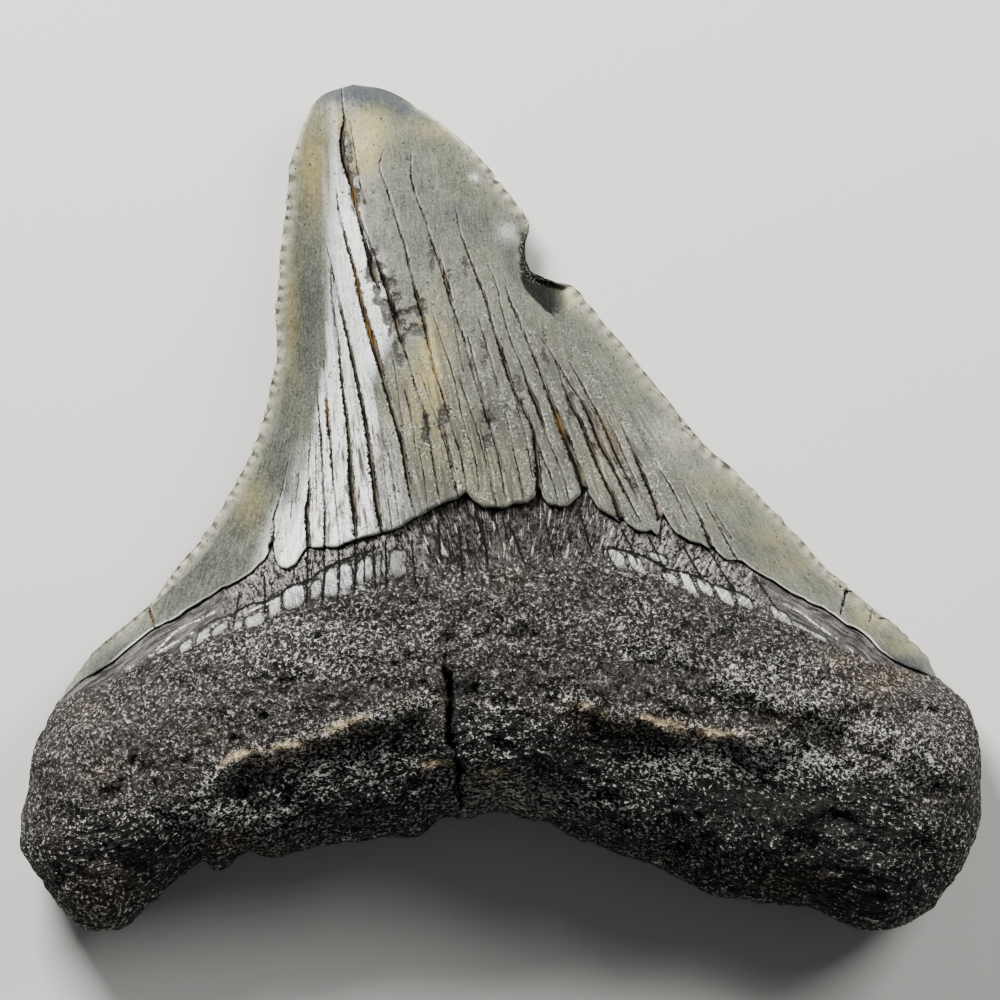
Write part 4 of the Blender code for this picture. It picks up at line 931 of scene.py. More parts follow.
# Bright tiles at the dark band's lower edge: place, half length along the band, half width across it, tone
TILES = [(-16.6, -7.2, .78, .85, 1), (-18.1, -8.0, .42, .75, .95), (-19.7, -9.1, .75, .45, .7),
         (-21.1, -9.5, .3, .3, .8), (-22.6, -9.8, .55, .35, .7), (-23.9, -10.3, .5, .45, .8),
         (-25.4, -11.2, .45, .38, .8), (-14.8, -6.7, .35, .75, .85), (-13.6, -6.1, .46, 1.05, .85),
         (-12.4, -5.6, .46, 1.1, .95), (-11.2, -5.3, .25, .9, .7), (-10.6, -5.0, .25, .9, .75),
         (-9.8, -5.1, .2, 1, .4), (-8.2, -4.6, .62, 1.1, .35), (-12.5, -6.9, .5, .13, .7),
         (-11.1, -6.5, .3, .16, .8), (9.4, -4.2, .48, .7, .8), (10.95, -4.6, .42, .6, .9),
         (9.9, -5.35, .6, .1, .7), (12.6, -4.1, .6, .3, .7), (13.6, -5.7, .42, .38, .8),
         (15.05, -6.1, .34, .72, 1), (16.4, -6.4, .42, .55, .95), (18.0, -7.1, .45, .62, 1),
         (19.55, -7.5, .46, .5, .75), (8.5, -5.1, .18, .18, .8), (21.1, -8.3, .22, .16, .8),
         (22.6, -8.8, .5, .42, .9), (25.0, -10.1, .9, .15, .7)]
# Thin pale filaments that run along the band
FILAMENTS = [[(-30.4, -13.2), (-29.1, -12.5), (-27.6, -11.4), (-26.2, -10.0), (-24.6, -9.2), (-23.0, -8.4)],
             [(22.6, -7.6), (24.6, -8.8), (25.9, -9.8), (27.5, -10.8), (28.6, -12.0)],
             [(-28.4, -12.2), (-26.4, -11.0), (-24.8, -10.1)], [(-23.3, -9.6), (-21.8, -8.9)],
             [(-20.6, -8.5), (-18.6, -7.7)]]
# Tan earth that fills the root's hollows, and where its skin shows more and fewer pale flecks and painted
# glints, as soft ellipses; the first of DEEP also sets the root's one wide hole
TAN = [(-19.6, -20.0, 2.6, .6, .8), (-15.6, -18.9, 2.4, .5, .7), (-12.0, -17.7, 2.0, .5, .6),
       (-5.0, -14.9, .5, 1.6, .7), (7.0, -16.8, 1.2, .8, .8), (-1.0, -21.2, .8, .6, .8),
       (-33.5, -16.5, 1.6, 1.2, .5), (-32.0, -21.0, 1.6, 1.4, .5), (-23.5, -18.0, 1.2, .8, .5),
       (12.0, -17.2, 3.0, .7, .8), (17.5, -18.2, 2.4, .6, .9), (27.5, -12.3, 1.4, .9, .8),
       (30.5, -14.2, 1.8, 1.3, .9), (33.0, -13.6, 1.4, .8, .6), (22.0, -17.2, 2.0, .6, .5),
       (-10.5, -3.6, .9, .8, .6), (0.5, -5.6, 1.8, .9, .35), (-28.0, -9.4, .9, .5, 1.0),
       (-17.0, -28.4, 3.0, .8, .4), (-22.0, -26.8, 1.2, .7, .6), (-32.0, -31.0, 2.5, 1.5, .4),
       (24.0, -30.0, 3.0, 1.2, .3), (-35.5, -26.0, .8, 2.0, .3), (5.0, -16.0, 2.5, .6, .4)]
PALE = [(-16.0, -11.5, 7.0, 2.6, .62), (11.5, -10.0, 2.2, 2.2, .8), (-34.0, -19.5, 2.2, 3.0, .15),
        (-26.0, -15.5, 4.0, 2.0, .15), (0.0, -9.5, 9.0, 2.2, .2), (21.0, -14.0, 6.0, 2.4, .6),
        (33.0, -20.0, 4.0, 2.0, .4), (17.0, -20.5, 9.0, 1.2, .45), (-14.0, -20.5, 9.0, 1.2, .35),
        (25.0, -20.5, 5.0, 1.2, .4), (36.0, -19.0, 2.5, 4.0, .3), (3.0, -22.5, 7.0, 2.5, .4),
        (-14.0, -24.0, 8.0, 2.0, .3), (30.0, -18.3, 2.4, .8, .6), (-24.0, -25.0, 6.0, 2.0, .25)]
DEEP = [(15.8, -13.3, 1.2, .7, 1.0), (-30.0, -28.5, 6.0, 3.5, .3), (-3.9, -16.0, 1.2, 5.0, .4),
        (-14.0, -14.6, 6.0, .7, .4), (6.0, -20.5, 5.0, 1.8, .5), (-12.0, -24.0, 6.0, 1.6, .4),
        (-29.0, -19.0, 1.6, 1.0, .4), (20.0, -24.0, 9.0, 2.0, .4), (28.0, -16.3, 2.2, .5, .8),
        (28.0, -29.0, 7.0, 4.0, .3), (10.0, -14.0, 6.0, 1.2, .3), (-22.5, -23.0, 3.0, .9, .3)]


def tiles(places):
    """Distance to the nearest bright tile's edge in millimetres, negative inside, and that tile's tone. The
    tiles are boxes with round corners, sheared to the band's slope and, on the right, to its fibres."""
    x, y = places.T
    slope = np.gradient(BAND[:, 1], BAND[:, 0])
    best, tone = np.full(len(places), FAR), np.zeros(len(places))
    for cx, cy, long, wide, light in TILES:
        tilt = float(np.interp(cx, BAND[:, 0], slope))
        lean = -0.45 if cx > 0 else 0.0
        rise = y - cy - tilt * (x - cx)
        run = x - cx - lean * (y - cy)
        size = (np.abs(run / long) ** 4 + np.abs(rise / wide) ** 4) ** 0.25
        distance = (size - 1) * min(long, wide)
        closer = distance < best
        best[closer] = distance[closer]
        tone[closer] = light * (0.45 + 0.55 * ease(-1.1, -0.3, rise[closer] / wide))
    return best + 0.08 * lumps(places, 0.5, SEED + 74), tone


def root_relief(places, inset, crown):
    """Relief of the root's lingual face in millimetres, the values that its material reads, the flow of
    its grain, and how far the band is polished. Below the band the relief is ledges, swellings and pores;
    on it, fibres and tiles; and everywhere the gap under the enamel, the slits and the groove are cut in."""
    x = places[:, 0]
    band_distance = above(BAND, places) + 0.35 * lumps(places, 1.3, SEED + 71)
    centre = np.exp(-((x - 1.0) / 8.0) ** 2)
    band = ease(-0.2 - 1.0 * centre, 0.2 + 1.0 * centre, band_distance)
    tile_distance, tone = tiles(places)
    slits = [[(*place, SLIT_HALF_WIDTH) for place in line] for line in BAND_CRACKS]
    side, near, _, slit = cracks(places, slits)
    filament = np.min([nearest(spline(line, 0.8), places)[0] for line in FILAMENTS], axis=0)
    thin = 0.6 + 0.4 * ease(20, 16, np.abs(x - 0.5))
    gap = ease(0.13, 0.05, np.abs(crown + 0.03) / thin) * ease(0, 1.5, inset)
    channel = groove(places)
    rough = 0.16 * lumps(places, 0.5, SEED + 4) + 0.2 * lumps(places, 1.3, SEED)
    rough += 0.3 * lumps(places, 3.7, SEED + 1)
    pores = PORE_DEPTH * ease(0.5, 0.8, lumps(places, 2.1, SEED + 2))
    below = ease(0.2, -2.2, band_distance)
    _, reach, _ = nearest(spline(ARCH_LINE, 1.5), places)
    flow = np.stack([reach, -crown], axis=1)
    fibre = lumps(flow / [1, 6], 0.45, SEED + 72) + 0.6 * lumps(flow / [1, 4], 0.22, SEED + 73)
    shrink = ease(0, 2.5, np.maximum(35.0 - np.abs(x), 0))
    relief = below * (ledges(places) + whorls(places) + rough - pores)
    relief += (FIBRE_HEIGHT * fibre * (1 - below) + TILE_HEIGHT * ease(0.1, -0.15, tile_distance)) * shrink
    relief -= GAP_DEPTH * gap + GROOVE_DEPTH * channel + SLIT_DEPTH * slit * shrink
    relief -= HOLE_DEPTH * np.clip(spots(places, DEEP[:1]), 0, 1)
    values = {
        "band": band,
        "flank": ease(-24, -20, x) * ease(-5, -9, x) + ease(7, 11, x) * ease(23, 18, x),
        "wing": ease(-20, -24, x) + ease(19, 24, x),
        "tile_distance": tile_distance,
        "tile_tone": tone,
        "slit_side": side,
        "slit_near": near,
        "filament": filament,
        "gap": np.clip(gap + 0.8 * ease(0.2, 1, channel), 0, 1),
        "tan": np.clip(spots(places, TAN), 0, 1),
        "pale": np.clip(0.45 + spots(places, PALE) - spots(places, DEEP) + ridge_wear(places), 0, 1),
        "crest": cream_wear(places),
        # Below the ridge line, where the root's colour is painted darker as shade
        "low": ease(0.5, -3.5, above(spline(RIDGE_LINE, 2.0), places)),
    }
    return relief, values, np.column_stack([flow, 0 * reach]), (1 - below) * shrink


def make_root(material, rim_rows, face_rows, back_rows, columns):
    """The root: columns that run from under the enamel down the lingual face to the outline and back up the
    labial face, closed inside the crown, with its grain pushed in and out along the surface's normals."""
    u = np.linspace(0, 1, columns)
    top = across(ARCH_LINE, LEFT_CORNER[0] + WIDTH * u)
    bottom = along(ROOT_OUTLINE, u)
    labial_top = across(LABIAL_LINE, LEFT_CORNER[0] + WIDTH * u)
    labial_top[:, 1] += 1.0 * ease(0, 0.1, np.minimum(u, 1 - u))
    length = np.maximum(np.linalg.norm(bottom - top, axis=1), 1e-6)
    turn = np.linspace(np.pi / 2, 0, rim_rows + 1)[:, None]
    reach = np.minimum(ROOT_ROUNDING, 0.5 * length)
    rim = 1 - reach / length * (1 - np.cos(turn))
    front = np.linspace(0, 1, face_rows)[:-1, None] * rim[0]
    v = np.vstack([front, rim])[..., None]
    plan = top * (1 - v) + bottom * v
    places = plan.reshape(-1, 2)
    inset = window_distance(plan.transpose(1, 0, 2), bottom, 40).T.ravel()
    crown_side = np.minimum(nearest(LEFT_SIDE, places)[0], nearest(RIGHT_SIDE, places)[0])
    inset = np.minimum(inset, crown_side + 100 * in_root(places))
    inset[-columns:] = 0
    crown = above(ENAMEL, places)
    relief, values, flow, polish = root_relief(places, inset, crown)
    height = walls(places, inset) + relief * ease(0, 1.2, inset)

    w = (np.linspace(0, 1, back_rows + 1)[1:] ** 1.5)[:, None, None]
    back_plan = bottom * (1 - w) + labial_top * w
    back_places = back_plan.reshape(-1, 2)
    back_inset = window_distance(back_plan.transpose(1, 0, 2), bottom, 40).T.ravel()
    rough = 0.42 * lumps(back_places, 2.6, SEED + 3)
    back_height = labial(back_places, back_inset) + (CAVITY_HEIGHT + rough) * ease(0, 2, back_inset)

    all_places = np.vstack([places, back_places])
    heights = np.concatenate([height, back_height])
    shift = np.stack([lumps(all_places, 2.3, SEED + 4), lumps(all_places, 2.3, SEED + 5)], axis=1)
    shift *= WEATHERING * in_root(all_places)[:, None]
    points = np.column_stack([all_places + shift, heights])
    amount = np.concatenate([ease(-0.4, -2.4, crown) * (1 - 0.75 * polish), np.ones(len(back_places))])
    points = with_grain(points.reshape(-1, columns, 3), amount)
    points[:, 2] = np.maximum(points[:, 2], 0)

    index = np.arange(len(points)).reshape(-1, columns)
    index[:, 0], index[:, -1] = index[0, 0], index[0, -1]
    index = np.vstack([index, index[:1]])
    extra = len(points) - len(places)
    values = {label: extended(value, len(points)) for label, value in values.items()}
    labial_values = {"pale": 0.4, "low": 0.5, "tile_distance": FAR, "slit_near": FAR, "filament": FAR}
    for label, value in labial_values.items():
        values[label][-extra:] = value
    values["flow"] = np.column_stack([np.concatenate([flow, points[-extra:]])[:, :2], points[:, 2]])
    return new_piece("root", points, quads(index), values, material)


def with_grain(grid, amount):
    """A grid's points moved along its normals by the root's grain, as far as `amount` says for each:
    worm-like ridges where solid noise crosses zero, drawn out on the lower root, fine grit and lumps."""
    normal = np.cross(np.gradient(grid, axis=0), np.gradient(grid, axis=1)).reshape(-1, 3)
    normal /= np.maximum(np.linalg.norm(normal, axis=1), 1e-9)[:, None]
    points = grid.reshape(-1, 3)
    worms = 1 - np.abs(grain(points, 0.62, SEED + 80)) * 2.2
    streaks = 1 - np.abs(grain(points, np.array([1.3, 0.5, 0.6]), SEED + 81)) * 2.2
    low = ease(-14, -19, points[:, 1])
    ridges = worms * (1 - 0.6 * low) + streaks * (0.3 + 0.5 * low)
    grit = grain(points, 0.33, SEED + 82)
    lumpy = grain(points, 1.7, SEED + 83)
    push = amount * (0.09 * ridges + 0.05 * grit + 0.10 * lumpy)
    return points + normal * push[:, None]


# ---------------------------------------------------------------------------------------------------------
# Materials
# ---------------------------------------------------------------------------------------------------------

# Kinds of node. A remap's inputs are a value, the range that it is read from, and the range that it is turned
# to, which is 0 to 1 where it isn't given; past the ends of its range a value stays at the end
NOISE, MAPPING, BUMP = "ShaderNodeTexNoise", "ShaderNodeMapping", "ShaderNodeBump"
REMAP, MATHS, MIX, NAMED = "ShaderNodeMapRange", "ShaderNodeMath", "ShaderNodeMix", "ShaderNodeAttribute"
# What a maths node does with its two inputs, or with its one
TIMES, PLUS, MINUS = dict(operation="MULTIPLY"), dict(operation="ADD"), dict(operation="SUBTRACT")
MOST, UNSIGNED, OVER = dict(operation="MAXIMUM"), dict(operation="ABSOLUTE"), dict(operation="DIVIDE")


def linear(code):
    """An sRGB hex value as three linear numbers."""
    parts = [int(code[i:i + 2], 16) / 255 for i in (0, 2, 4)]
    return tuple(p / 12.92 if p <= 0.04045 else ((p + 0.055) / 1.055) ** 2.4 for p in parts)


def per_metre(millimetres):
    """The Scale of a texture on Object coordinates whose features are this many millimetres across."""
    return 1000 / millimetres


def add(tree, kind, inputs=(), **settings):
    """Add one node with its settings. Its inputs are given by name, or as a list in the node's own order;
    each is a value, or the node or socket that feeds it."""
    node = tree.nodes.new(kind)
    for name, value in settings.items():
        setattr(node, name, value)
    for name, value in inputs.items() if isinstance(inputs, dict) else enumerate(inputs):
        if isinstance(value, bpy.types.Node):
            value = value.outputs[0]
        if isinstance(value, bpy.types.NodeSocket):
            tree.links.new(value, node.inputs[name])
        else:
            node.inputs[name].default_value = value
    return node


def new_material(name, labels):
    """An empty material with its shader, object coordinates, flow coordinates in millimetres, and the
    mesh's named values."""
    material = bpy.data.materials.new(name)
    material.use_nodes = True
    tree = material.node_tree
    place = add(tree, "ShaderNodeTexCoord").outputs["Object"]
    flow = add(tree, NAMED, attribute_name="flow").outputs["Vector"]
    value = {label: add(tree, NAMED, attribute_name=label).outputs["Fac"] for label in labels}
    return material, tree, tree.nodes["Principled BSDF"], place, flow, value


def painted(tree, base, layers):
    """The base colour with layers laid over it in order, each a colour and what feeds its strength."""
    colour = base if isinstance(base, bpy.types.NodeSocket) else (*base, 1)
    for over, strength in layers:
        over = over if isinstance(over, bpy.types.NodeSocket) else (*over, 1)
        colour = add(tree, MIX, {0: strength, 6: colour, 7: over}, data_type="RGBA").outputs[2]
    return colour


def finish(tree, shader, colour, rough, gloss, bump, ior):
    """Join a material's colour, roughness, gloss and bump to its shader."""
    for name, source in (("Base Color", colour), ("Roughness", rough.outputs[0]),
                         ("Specular IOR Level", gloss.outputs[0]), ("Normal", bump.outputs[0])):
        tree.links.new(source, shader.inputs[name])
    shader.inputs["IOR"].default_value = ior


def enamel_cracks(tree, colours, value, ragged, dash, patch, patchy):
    """Where the cracks are open, where a pale highlight is painted on their right walls, and the colour of
    the earth in them, with painted shadow under their left walls, all from how far outside the nearest
    crack's ragged wall a point lies, in millimetres."""
    ragged = add(tree, REMAP, [ragged, 0.3, 0.7, -0.12, 0.12])
    wander = add(tree, REMAP, [value["crack_half"], 0.03, 0.15, 0.4, 1])
    ragged = add(tree, MATHS, [ragged, wander], **TIMES)
    beyond = add(tree, MATHS, [value["crack_side"], ragged], **PLUS)
    beyond = add(tree, MATHS, [beyond], **UNSIGNED)
    beyond = add(tree, MATHS, [beyond, value["crack_half"]], **MINUS)
    close = add(tree, MATHS, [value["crack_near"], value["crack_half"]], **MINUS)
    close = add(tree, REMAP, [close, 0.18, 0.12])
    # Thin cracks are broken into dashes, wide ones are whole
    dash = add(tree, REMAP, [dash, 0.40, 0.52, 0.5, 1])
    whole = add(tree, REMAP, [value["crack_half"], 0.05, 0.13])
    dash = add(tree, MATHS, [dash, whole], **MOST)
    opening = add(tree, REMAP, [beyond, 0.05, -0.02])
    for factor in (close, dash):
        opening = add(tree, MATHS, [opening, factor], **TIMES)
    # Painted highlight: the wall on the crack's right, which faces the light, is painted pale, the one on its
    # left hardly so, and most on the worn strips
    edge = add(tree, REMAP, [beyond, 0.16, 0.05])
    right = add(tree, REMAP, [value["crack_side"], -0.05, 0.08, 0.1, 0.9])
    pale = add(tree, REMAP, [value["bleach"], 0, 1, 0.25, 1])
    for factor in (right, pale, patch, close):
        edge = add(tree, MATHS, [edge, factor], **TIMES)
    # Painted shadow: the earth is black under a crack's left wall, where its shadow falls, paler and streaked
    # towards its right
    floor = add(tree, MATHS, [value["crack_side"], value["crack_half"]], **OVER)
    floor = add(tree, MATHS, [add(tree, REMAP, [floor, -0.3, 0.5]), patchy], **TIMES)
    golden = add(tree, MATHS, [value["gold"], patchy], **TIMES)
    golden = add(tree, MATHS, [golden, 0.8], **TIMES)
    earth = painted(tree, colours.crack, [(colours.crack_floor, floor), (colours.gold, golden)])
    return opening, edge, earth


def enamel_wear(tree, colours, value, speckle, down, patch, crumb):
    """Layers of colour for worn enamel: its stains, white strips and cutting edge, then the freckles of grime
    and wear between its cracks, then its flaked patches."""
    uneven = add(tree, REMAP, [crumb, 0.35, 0.6, 0.45, 1])
    # The stains and the cream cutting edge, broken up by the crumbly grain; the blue also lays painted shade
    # on the right wing's lower end
    yellow, blue, rim = [add(tree, MATHS, [add(tree, MATHS, [value[name], share], **TIMES), uneven], **TIMES)
                         for name, share in (("yellow", 0.85), ("blue", 0.95), ("rim", 0.9))]
    # The white strips: worn enamel, whose white is partly painted sheen
    worn = value["bleach"]
    for pattern, low, high, least in ((speckle, 0.30, 0.50, 0.45), (down, 0.38, 0.54, 0.6)):
        worn = add(tree, MATHS, [worn, add(tree, REMAP, [pattern, low, high, least, 1])], **TIMES)
    # Gaps between the teeth of the cutting edges
    gap = add(tree, REMAP, [value["tooth"], 0.9, 0.5])
    for factor in (value["rim"], add(tree, REMAP, [patch, 0, 1, 0.65, 1])):
        gap = add(tree, MATHS, [gap, factor], **TIMES)
    freckle = add(tree, MATHS, [patch, add(tree, REMAP, [value["striae"], 0, 1, 0.15, 1])], **TIMES)
    dull, clean = [add(tree, MATHS, [add(tree, REMAP, [speckle, low, high, 0, share]), freckle], **TIMES)
                   for low, high, share in ((0.47, 0.39, 0.7), (0.56, 0.64, 0.5))]
    # Patches torn along the crumbly grain, with chips of enamel left in them
    torn = add(tree, MATHS, [value["broken"], crumb], **PLUS)
    torn = add(tree, REMAP, [torn, 0.72, 0.90, 0, 0.95])
    chips = painted(tree, colours.broken, [(colours.enamel_light, add(tree, REMAP, [speckle, 0.56, 0.64]))])
    stains = [(colours.yellow, yellow), (colours.blue, blue), (colours.bleached_and_highlight, worn), (colours.rim, rim),
              (colours.rim_gap, gap)]
    return stains, [(colours.striation, dull), (colours.bleached_and_highlight, clean)], (chips, torn)


def enamel_material(colours):
    """Fossil enameloid: dense fluorapatite, polished by sand, stained grey by phosphate mud.
    Its low sheen shows the fine striations; the cracks hold dark earth, painted black as shadow under
    their left walls, and their sharp right edges are painted pale as a highlight."""
    material, tree, shader, place, flow, value = new_material("fossil_enameloid", (
        "crack_side", "crack_near", "crack_half", "broken", "striae", "bleach", "yellow", "blue", "gold",
        "rim", "tooth", "lip", "bed", "crumb", "shade"))
    # Even patterns, each with its size in millimetres, detail and roughness: mottling, a speckle, patches
    # that pits and wear keep to, a crumbly grain that breaks up stains, and the cracks' ragged walls
    cloud, speckle, patch, crumb, ragged = [
        add(tree, NOISE, {"Vector": place, "Scale": per_metre(size), "Detail": detail,
                          "Roughness": roughness})
        for size, detail, roughness in ((2.6, 6, 0.62), (0.2, 3, 0.7), (1.1, 2, 0.5), (0.5, 4, 0.7),
                                        (0.35, 3, 0.65))]
    # Patterns drawn out down the crown, each with its width and length in millimetres, detail and
    # roughness: the enamel's grain, fine striations, brown grime, and the dashes of thin cracks
    down, thread, grime, dash = [
        add(tree, NOISE, {"Vector": add(tree, MAPPING, {"Vector": flow, "Scale": (1 / wide, 1 / long, 1)}),
                          "Scale": 1.0, "Detail": detail, "Roughness": roughness})
        for wide, long, detail, roughness in ((0.15, 1.5, 4, 0.7), (0.35, 9, 4, 0.6), (0.6, 5, 5, 0.65),
                                              (0.6, 2.2, 3, 0.7))]
    # How light the enamel's colour is: lower under the SHADED ellipses, which paint shade by the bite and on
    # the right wing's end, and mottled
    light = add(tree, REMAP, [value["shade"], 0, 1, 0.10, 0.55])
    for pattern, low, high, share in ((cloud, 0.34, 0.68, 0.16), (down, 0.3, 0.7, 0.28),
                                      (speckle, 0.3, 0.7, 0.24)):
        part = add(tree, REMAP, [pattern, low, high, -share, share])
        light = add(tree, MATHS, [light, part], use_clamp=True, **PLUS)
    patchy = add(tree, REMAP, [down, 0.44, 0.56])
    line = add(tree, MATHS, [add(tree, REMAP, [thread, 0.50, 0.38]), value["striae"]], **TIMES)
    grime = add(tree, MATHS, [add(tree, REMAP, [grime, 0.52, 0.66, 0, 0.5]), value["striae"]], **TIMES)
    # Pin-prick pits, some 0.2 mm wide and 0.55 mm apart, of uneven strength
    prick = add(tree, "ShaderNodeTexVoronoi", {"Vector": place, "Scale": per_metre(0.55)})
    patch = add(tree, REMAP, [patch, 0.40, 0.60, 0.2, 1])
    prick = add(tree, MATHS, [add(tree, REMAP, [prick, 0.26, 0.12]), patch], **TIMES)

    opening, edge, earth = enamel_cracks(tree, colours, value, ragged, dash, patch, patchy)
    stains, freckles, flaked = enamel_wear(tree, colours, value, speckle, down, patch, crumb)
    # The bite: its crumbled rim with grains of enamel, and the streaked painted shadow on the scoop's floor
    rubble = painted(tree, colours.crack, [(colours.enamel_light, add(tree, REMAP, [speckle, 0.53, 0.62]))])
    bed = painted(tree, colours.bed, [(colours.enamel_dark, add(tree, MATHS, [patchy, 0.6], **TIMES))])
    colour = painted(tree, colours.enamel_dark, [
        (colours.enamel_light, light), *stains, (colours.bleached_and_highlight, edge), (colours.broken, grime),
        *freckles, (colours.striation, line), (colours.pit, prick), flaked, (colours.lip, value["lip"]),
        (earth, opening), (bed, value["bed"]), (rubble, value["crumb"])])

    deep = add(tree, MATHS, [opening, value["bed"]], **MOST)
    rough = add(tree, MATHS, [add(tree, REMAP, [light, 0, 1, 0.52, 0.42]), deep], **MOST)
    gloss = add(tree, REMAP, [deep, 0, 1, 0.18, 0.06])
    ridge = add(tree, MATHS, [thread, value["striae"]], **TIMES)
    ridge = add(tree, MATHS, [ridge, opening], **MINUS)
    bump = add(tree, BUMP, {"Strength": 0.6, "Distance": 0.10 * MM, "Height": ridge})
    dent = add(tree, MATHS, [crumb, prick], **MINUS)
    bump = add(tree, BUMP, {"Strength": 0.35, "Distance": 0.07 * MM, "Height": dent, "Normal": bump})
    finish(tree, shader, colour, rough, gloss, bump, 1.6)
    return material


def root_grain(tree, colours, value, cloud, even, drawn, gritty):
    """The root's skin, where its worm-like grain crosses its middle value: the crests themselves, their pale
    flecks, which also stand in as painted glints, and the layers of colour to lay over the dark hollows,
    laid more thinly below the ridge line as painted shade."""
    lower = add(tree, MATHS, [value["low"], 0.75], **TIMES)
    worm = add(tree, MIX, {0: lower, 2: even, 3: drawn})
    worm = add(tree, MATHS, [worm, 0.5], **MINUS)
    worm = add(tree, MATHS, [worm], **UNSIGNED)
    # Broad dull crests, and crisp ones 0.15 mm wide on them; the broad ones are dimmed below the ridge
    # line as painted shade
    skin = add(tree, REMAP, [worm, 0.13, 0])
    worm = add(tree, REMAP, [worm, 0.075, 0.01])
    for factor in (add(tree, REMAP, [gritty, 0.38, 0.60, 0.1, 1]),
                   add(tree, REMAP, [value["low"], 0, 1, 1, 0.35])):
        skin = add(tree, MATHS, [skin, factor], **TIMES)
    # The brightest, pale flecks that also stand in as painted glints on the crests, only where the grit
    # stands above a level that falls where the root is worn
    level = add(tree, REMAP, [value["pale"], 0, 1, 0.62, 0.42])
    some = add(tree, MATHS, [gritty, level], **MINUS)
    crisp = add(tree, REMAP, [value["low"], 0, 1, 1, 2.6])
    some = add(tree, MATHS, [some, crisp], **TIMES)
    fleck_and_glint = add(tree, MATHS, [worm, add(tree, REMAP, [some, 0, 0.13])], **TIMES)
    # Earth in the hollows, cream on the crests that stand out of it, and the worn ridges
    tan = add(tree, REMAP, [gritty, 0.42, 0.56])
    for factor in (value["tan"], 0.85):
        tan = add(tree, MATHS, [tan, factor], **TIMES)
    tanned = add(tree, MATHS, [fleck_and_glint, value["tan"]], **TIMES)
    ridge = add(tree, MATHS, [add(tree, REMAP, [gritty, 0.36, 0.50]), value["crest"]], **TIMES)
    # The skin's lighter colour, mostly above the ridge line: below it the root is painted darker, as shade
    # where it faces away from the light
    upper = add(tree, REMAP, [value["low"], 0, 1, 1, 0.2])
    for pattern, low, high, least in ((cloud, 0.36, 0.64, 0), (gritty, 0.38, 0.56, 0.1)):
        upper = add(tree, MATHS, [upper, add(tree, REMAP, [pattern, low, high, least, 1])], **TIMES)
    layers = [(colours.root_light, upper), (colours.tan, tan), (colours.root_grey, skin),
              (colours.fleck_and_glint, fleck_and_glint), (colours.cream, tanned), (colours.cream, ridge)]
    return worm, fleck_and_glint, layers


def band_colour(tree, colours, value, fibre, split, smear, gritty):
    """The dark band: fibres square to the enamel's edge with glints and hair cracks, rubbed on its flanks
    and smeared smooth on its wings."""
    calm = add(tree, MATHS, [1.0, value["wing"]], use_clamp=True, **MINUS)
    strand = add(tree, REMAP, [add(tree, MATHS, [fibre, gritty], **PLUS), 0.86, 1.12])
    rubbed = add(tree, MATHS, [value["flank"], strand], **TIMES)
    glint = add(tree, REMAP, [fibre, 0.60, 0.66, 0, 0.7])
    split = add(tree, MATHS, [split, 0.5], **MINUS)
    split = add(tree, REMAP, [add(tree, MATHS, [split], **UNSIGNED), 0.03, 0.01])
    strand, glint, split = [add(tree, MATHS, [part, calm], **TIMES) for part in (strand, glint, split)]
    smear = add(tree, MATHS, [add(tree, REMAP, [smear, 0.42, 0.62, 0, 0.6]), value["wing"]], **TIMES)
    return painted(tree, colours.band_dark, [
        (colours.band_light, strand), (colours.band_flank, rubbed), (colours.band_flank, smear),
        (colours.fleck_and_glint, glint), (colours.gap, split)])


def tile_layers(tree, colours, value, fibre, gritty, pieces):
    """Filaments, tiles in their dark rings, and slits: distances from the mesh, made ragged by grit. The
    tiles are also returned by themselves."""
    ragged = add(tree, REMAP, [gritty, 0.3, 0.7, -0.08, 0.08])
    beyond, slit, strip = [add(tree, MATHS, [value[name], ragged], **PLUS)
                           for name in ("tile_distance", "slit_side", "filament")]
    ring = add(tree, MATHS, [add(tree, REMAP, [beyond, 0.22, 0.10]),
                             add(tree, REMAP, [value["band"], 0, 1, 0.25, 0.9])], **TIMES)
    worn = add(tree, MATHS, [add(tree, REMAP, [fibre, 0.38, 0.54, 0.3, 1]), value["tile_tone"]], **TIMES)
    tile = add(tree, MATHS, [add(tree, REMAP, [beyond, 0.03, -0.05]), worn], **TIMES)
    slit = add(tree, REMAP, [add(tree, MATHS, [slit], **UNSIGNED), 0.13, 0.07])
    slit = add(tree, MATHS, [slit, add(tree, REMAP, [value["slit_near"], 0.35, 0.25])], **TIMES)
    strip = add(tree, MATHS, [add(tree, REMAP, [strip, 0.10, 0.03]),
                              add(tree, REMAP, [pieces, 0.46, 0.52])], **TIMES)
    return tile, [(colours.fleck_and_glint, strip), (colours.gap, ring), (colours.tile, tile), (colours.gap, slit),
                  (colours.gap, value["gap"])]


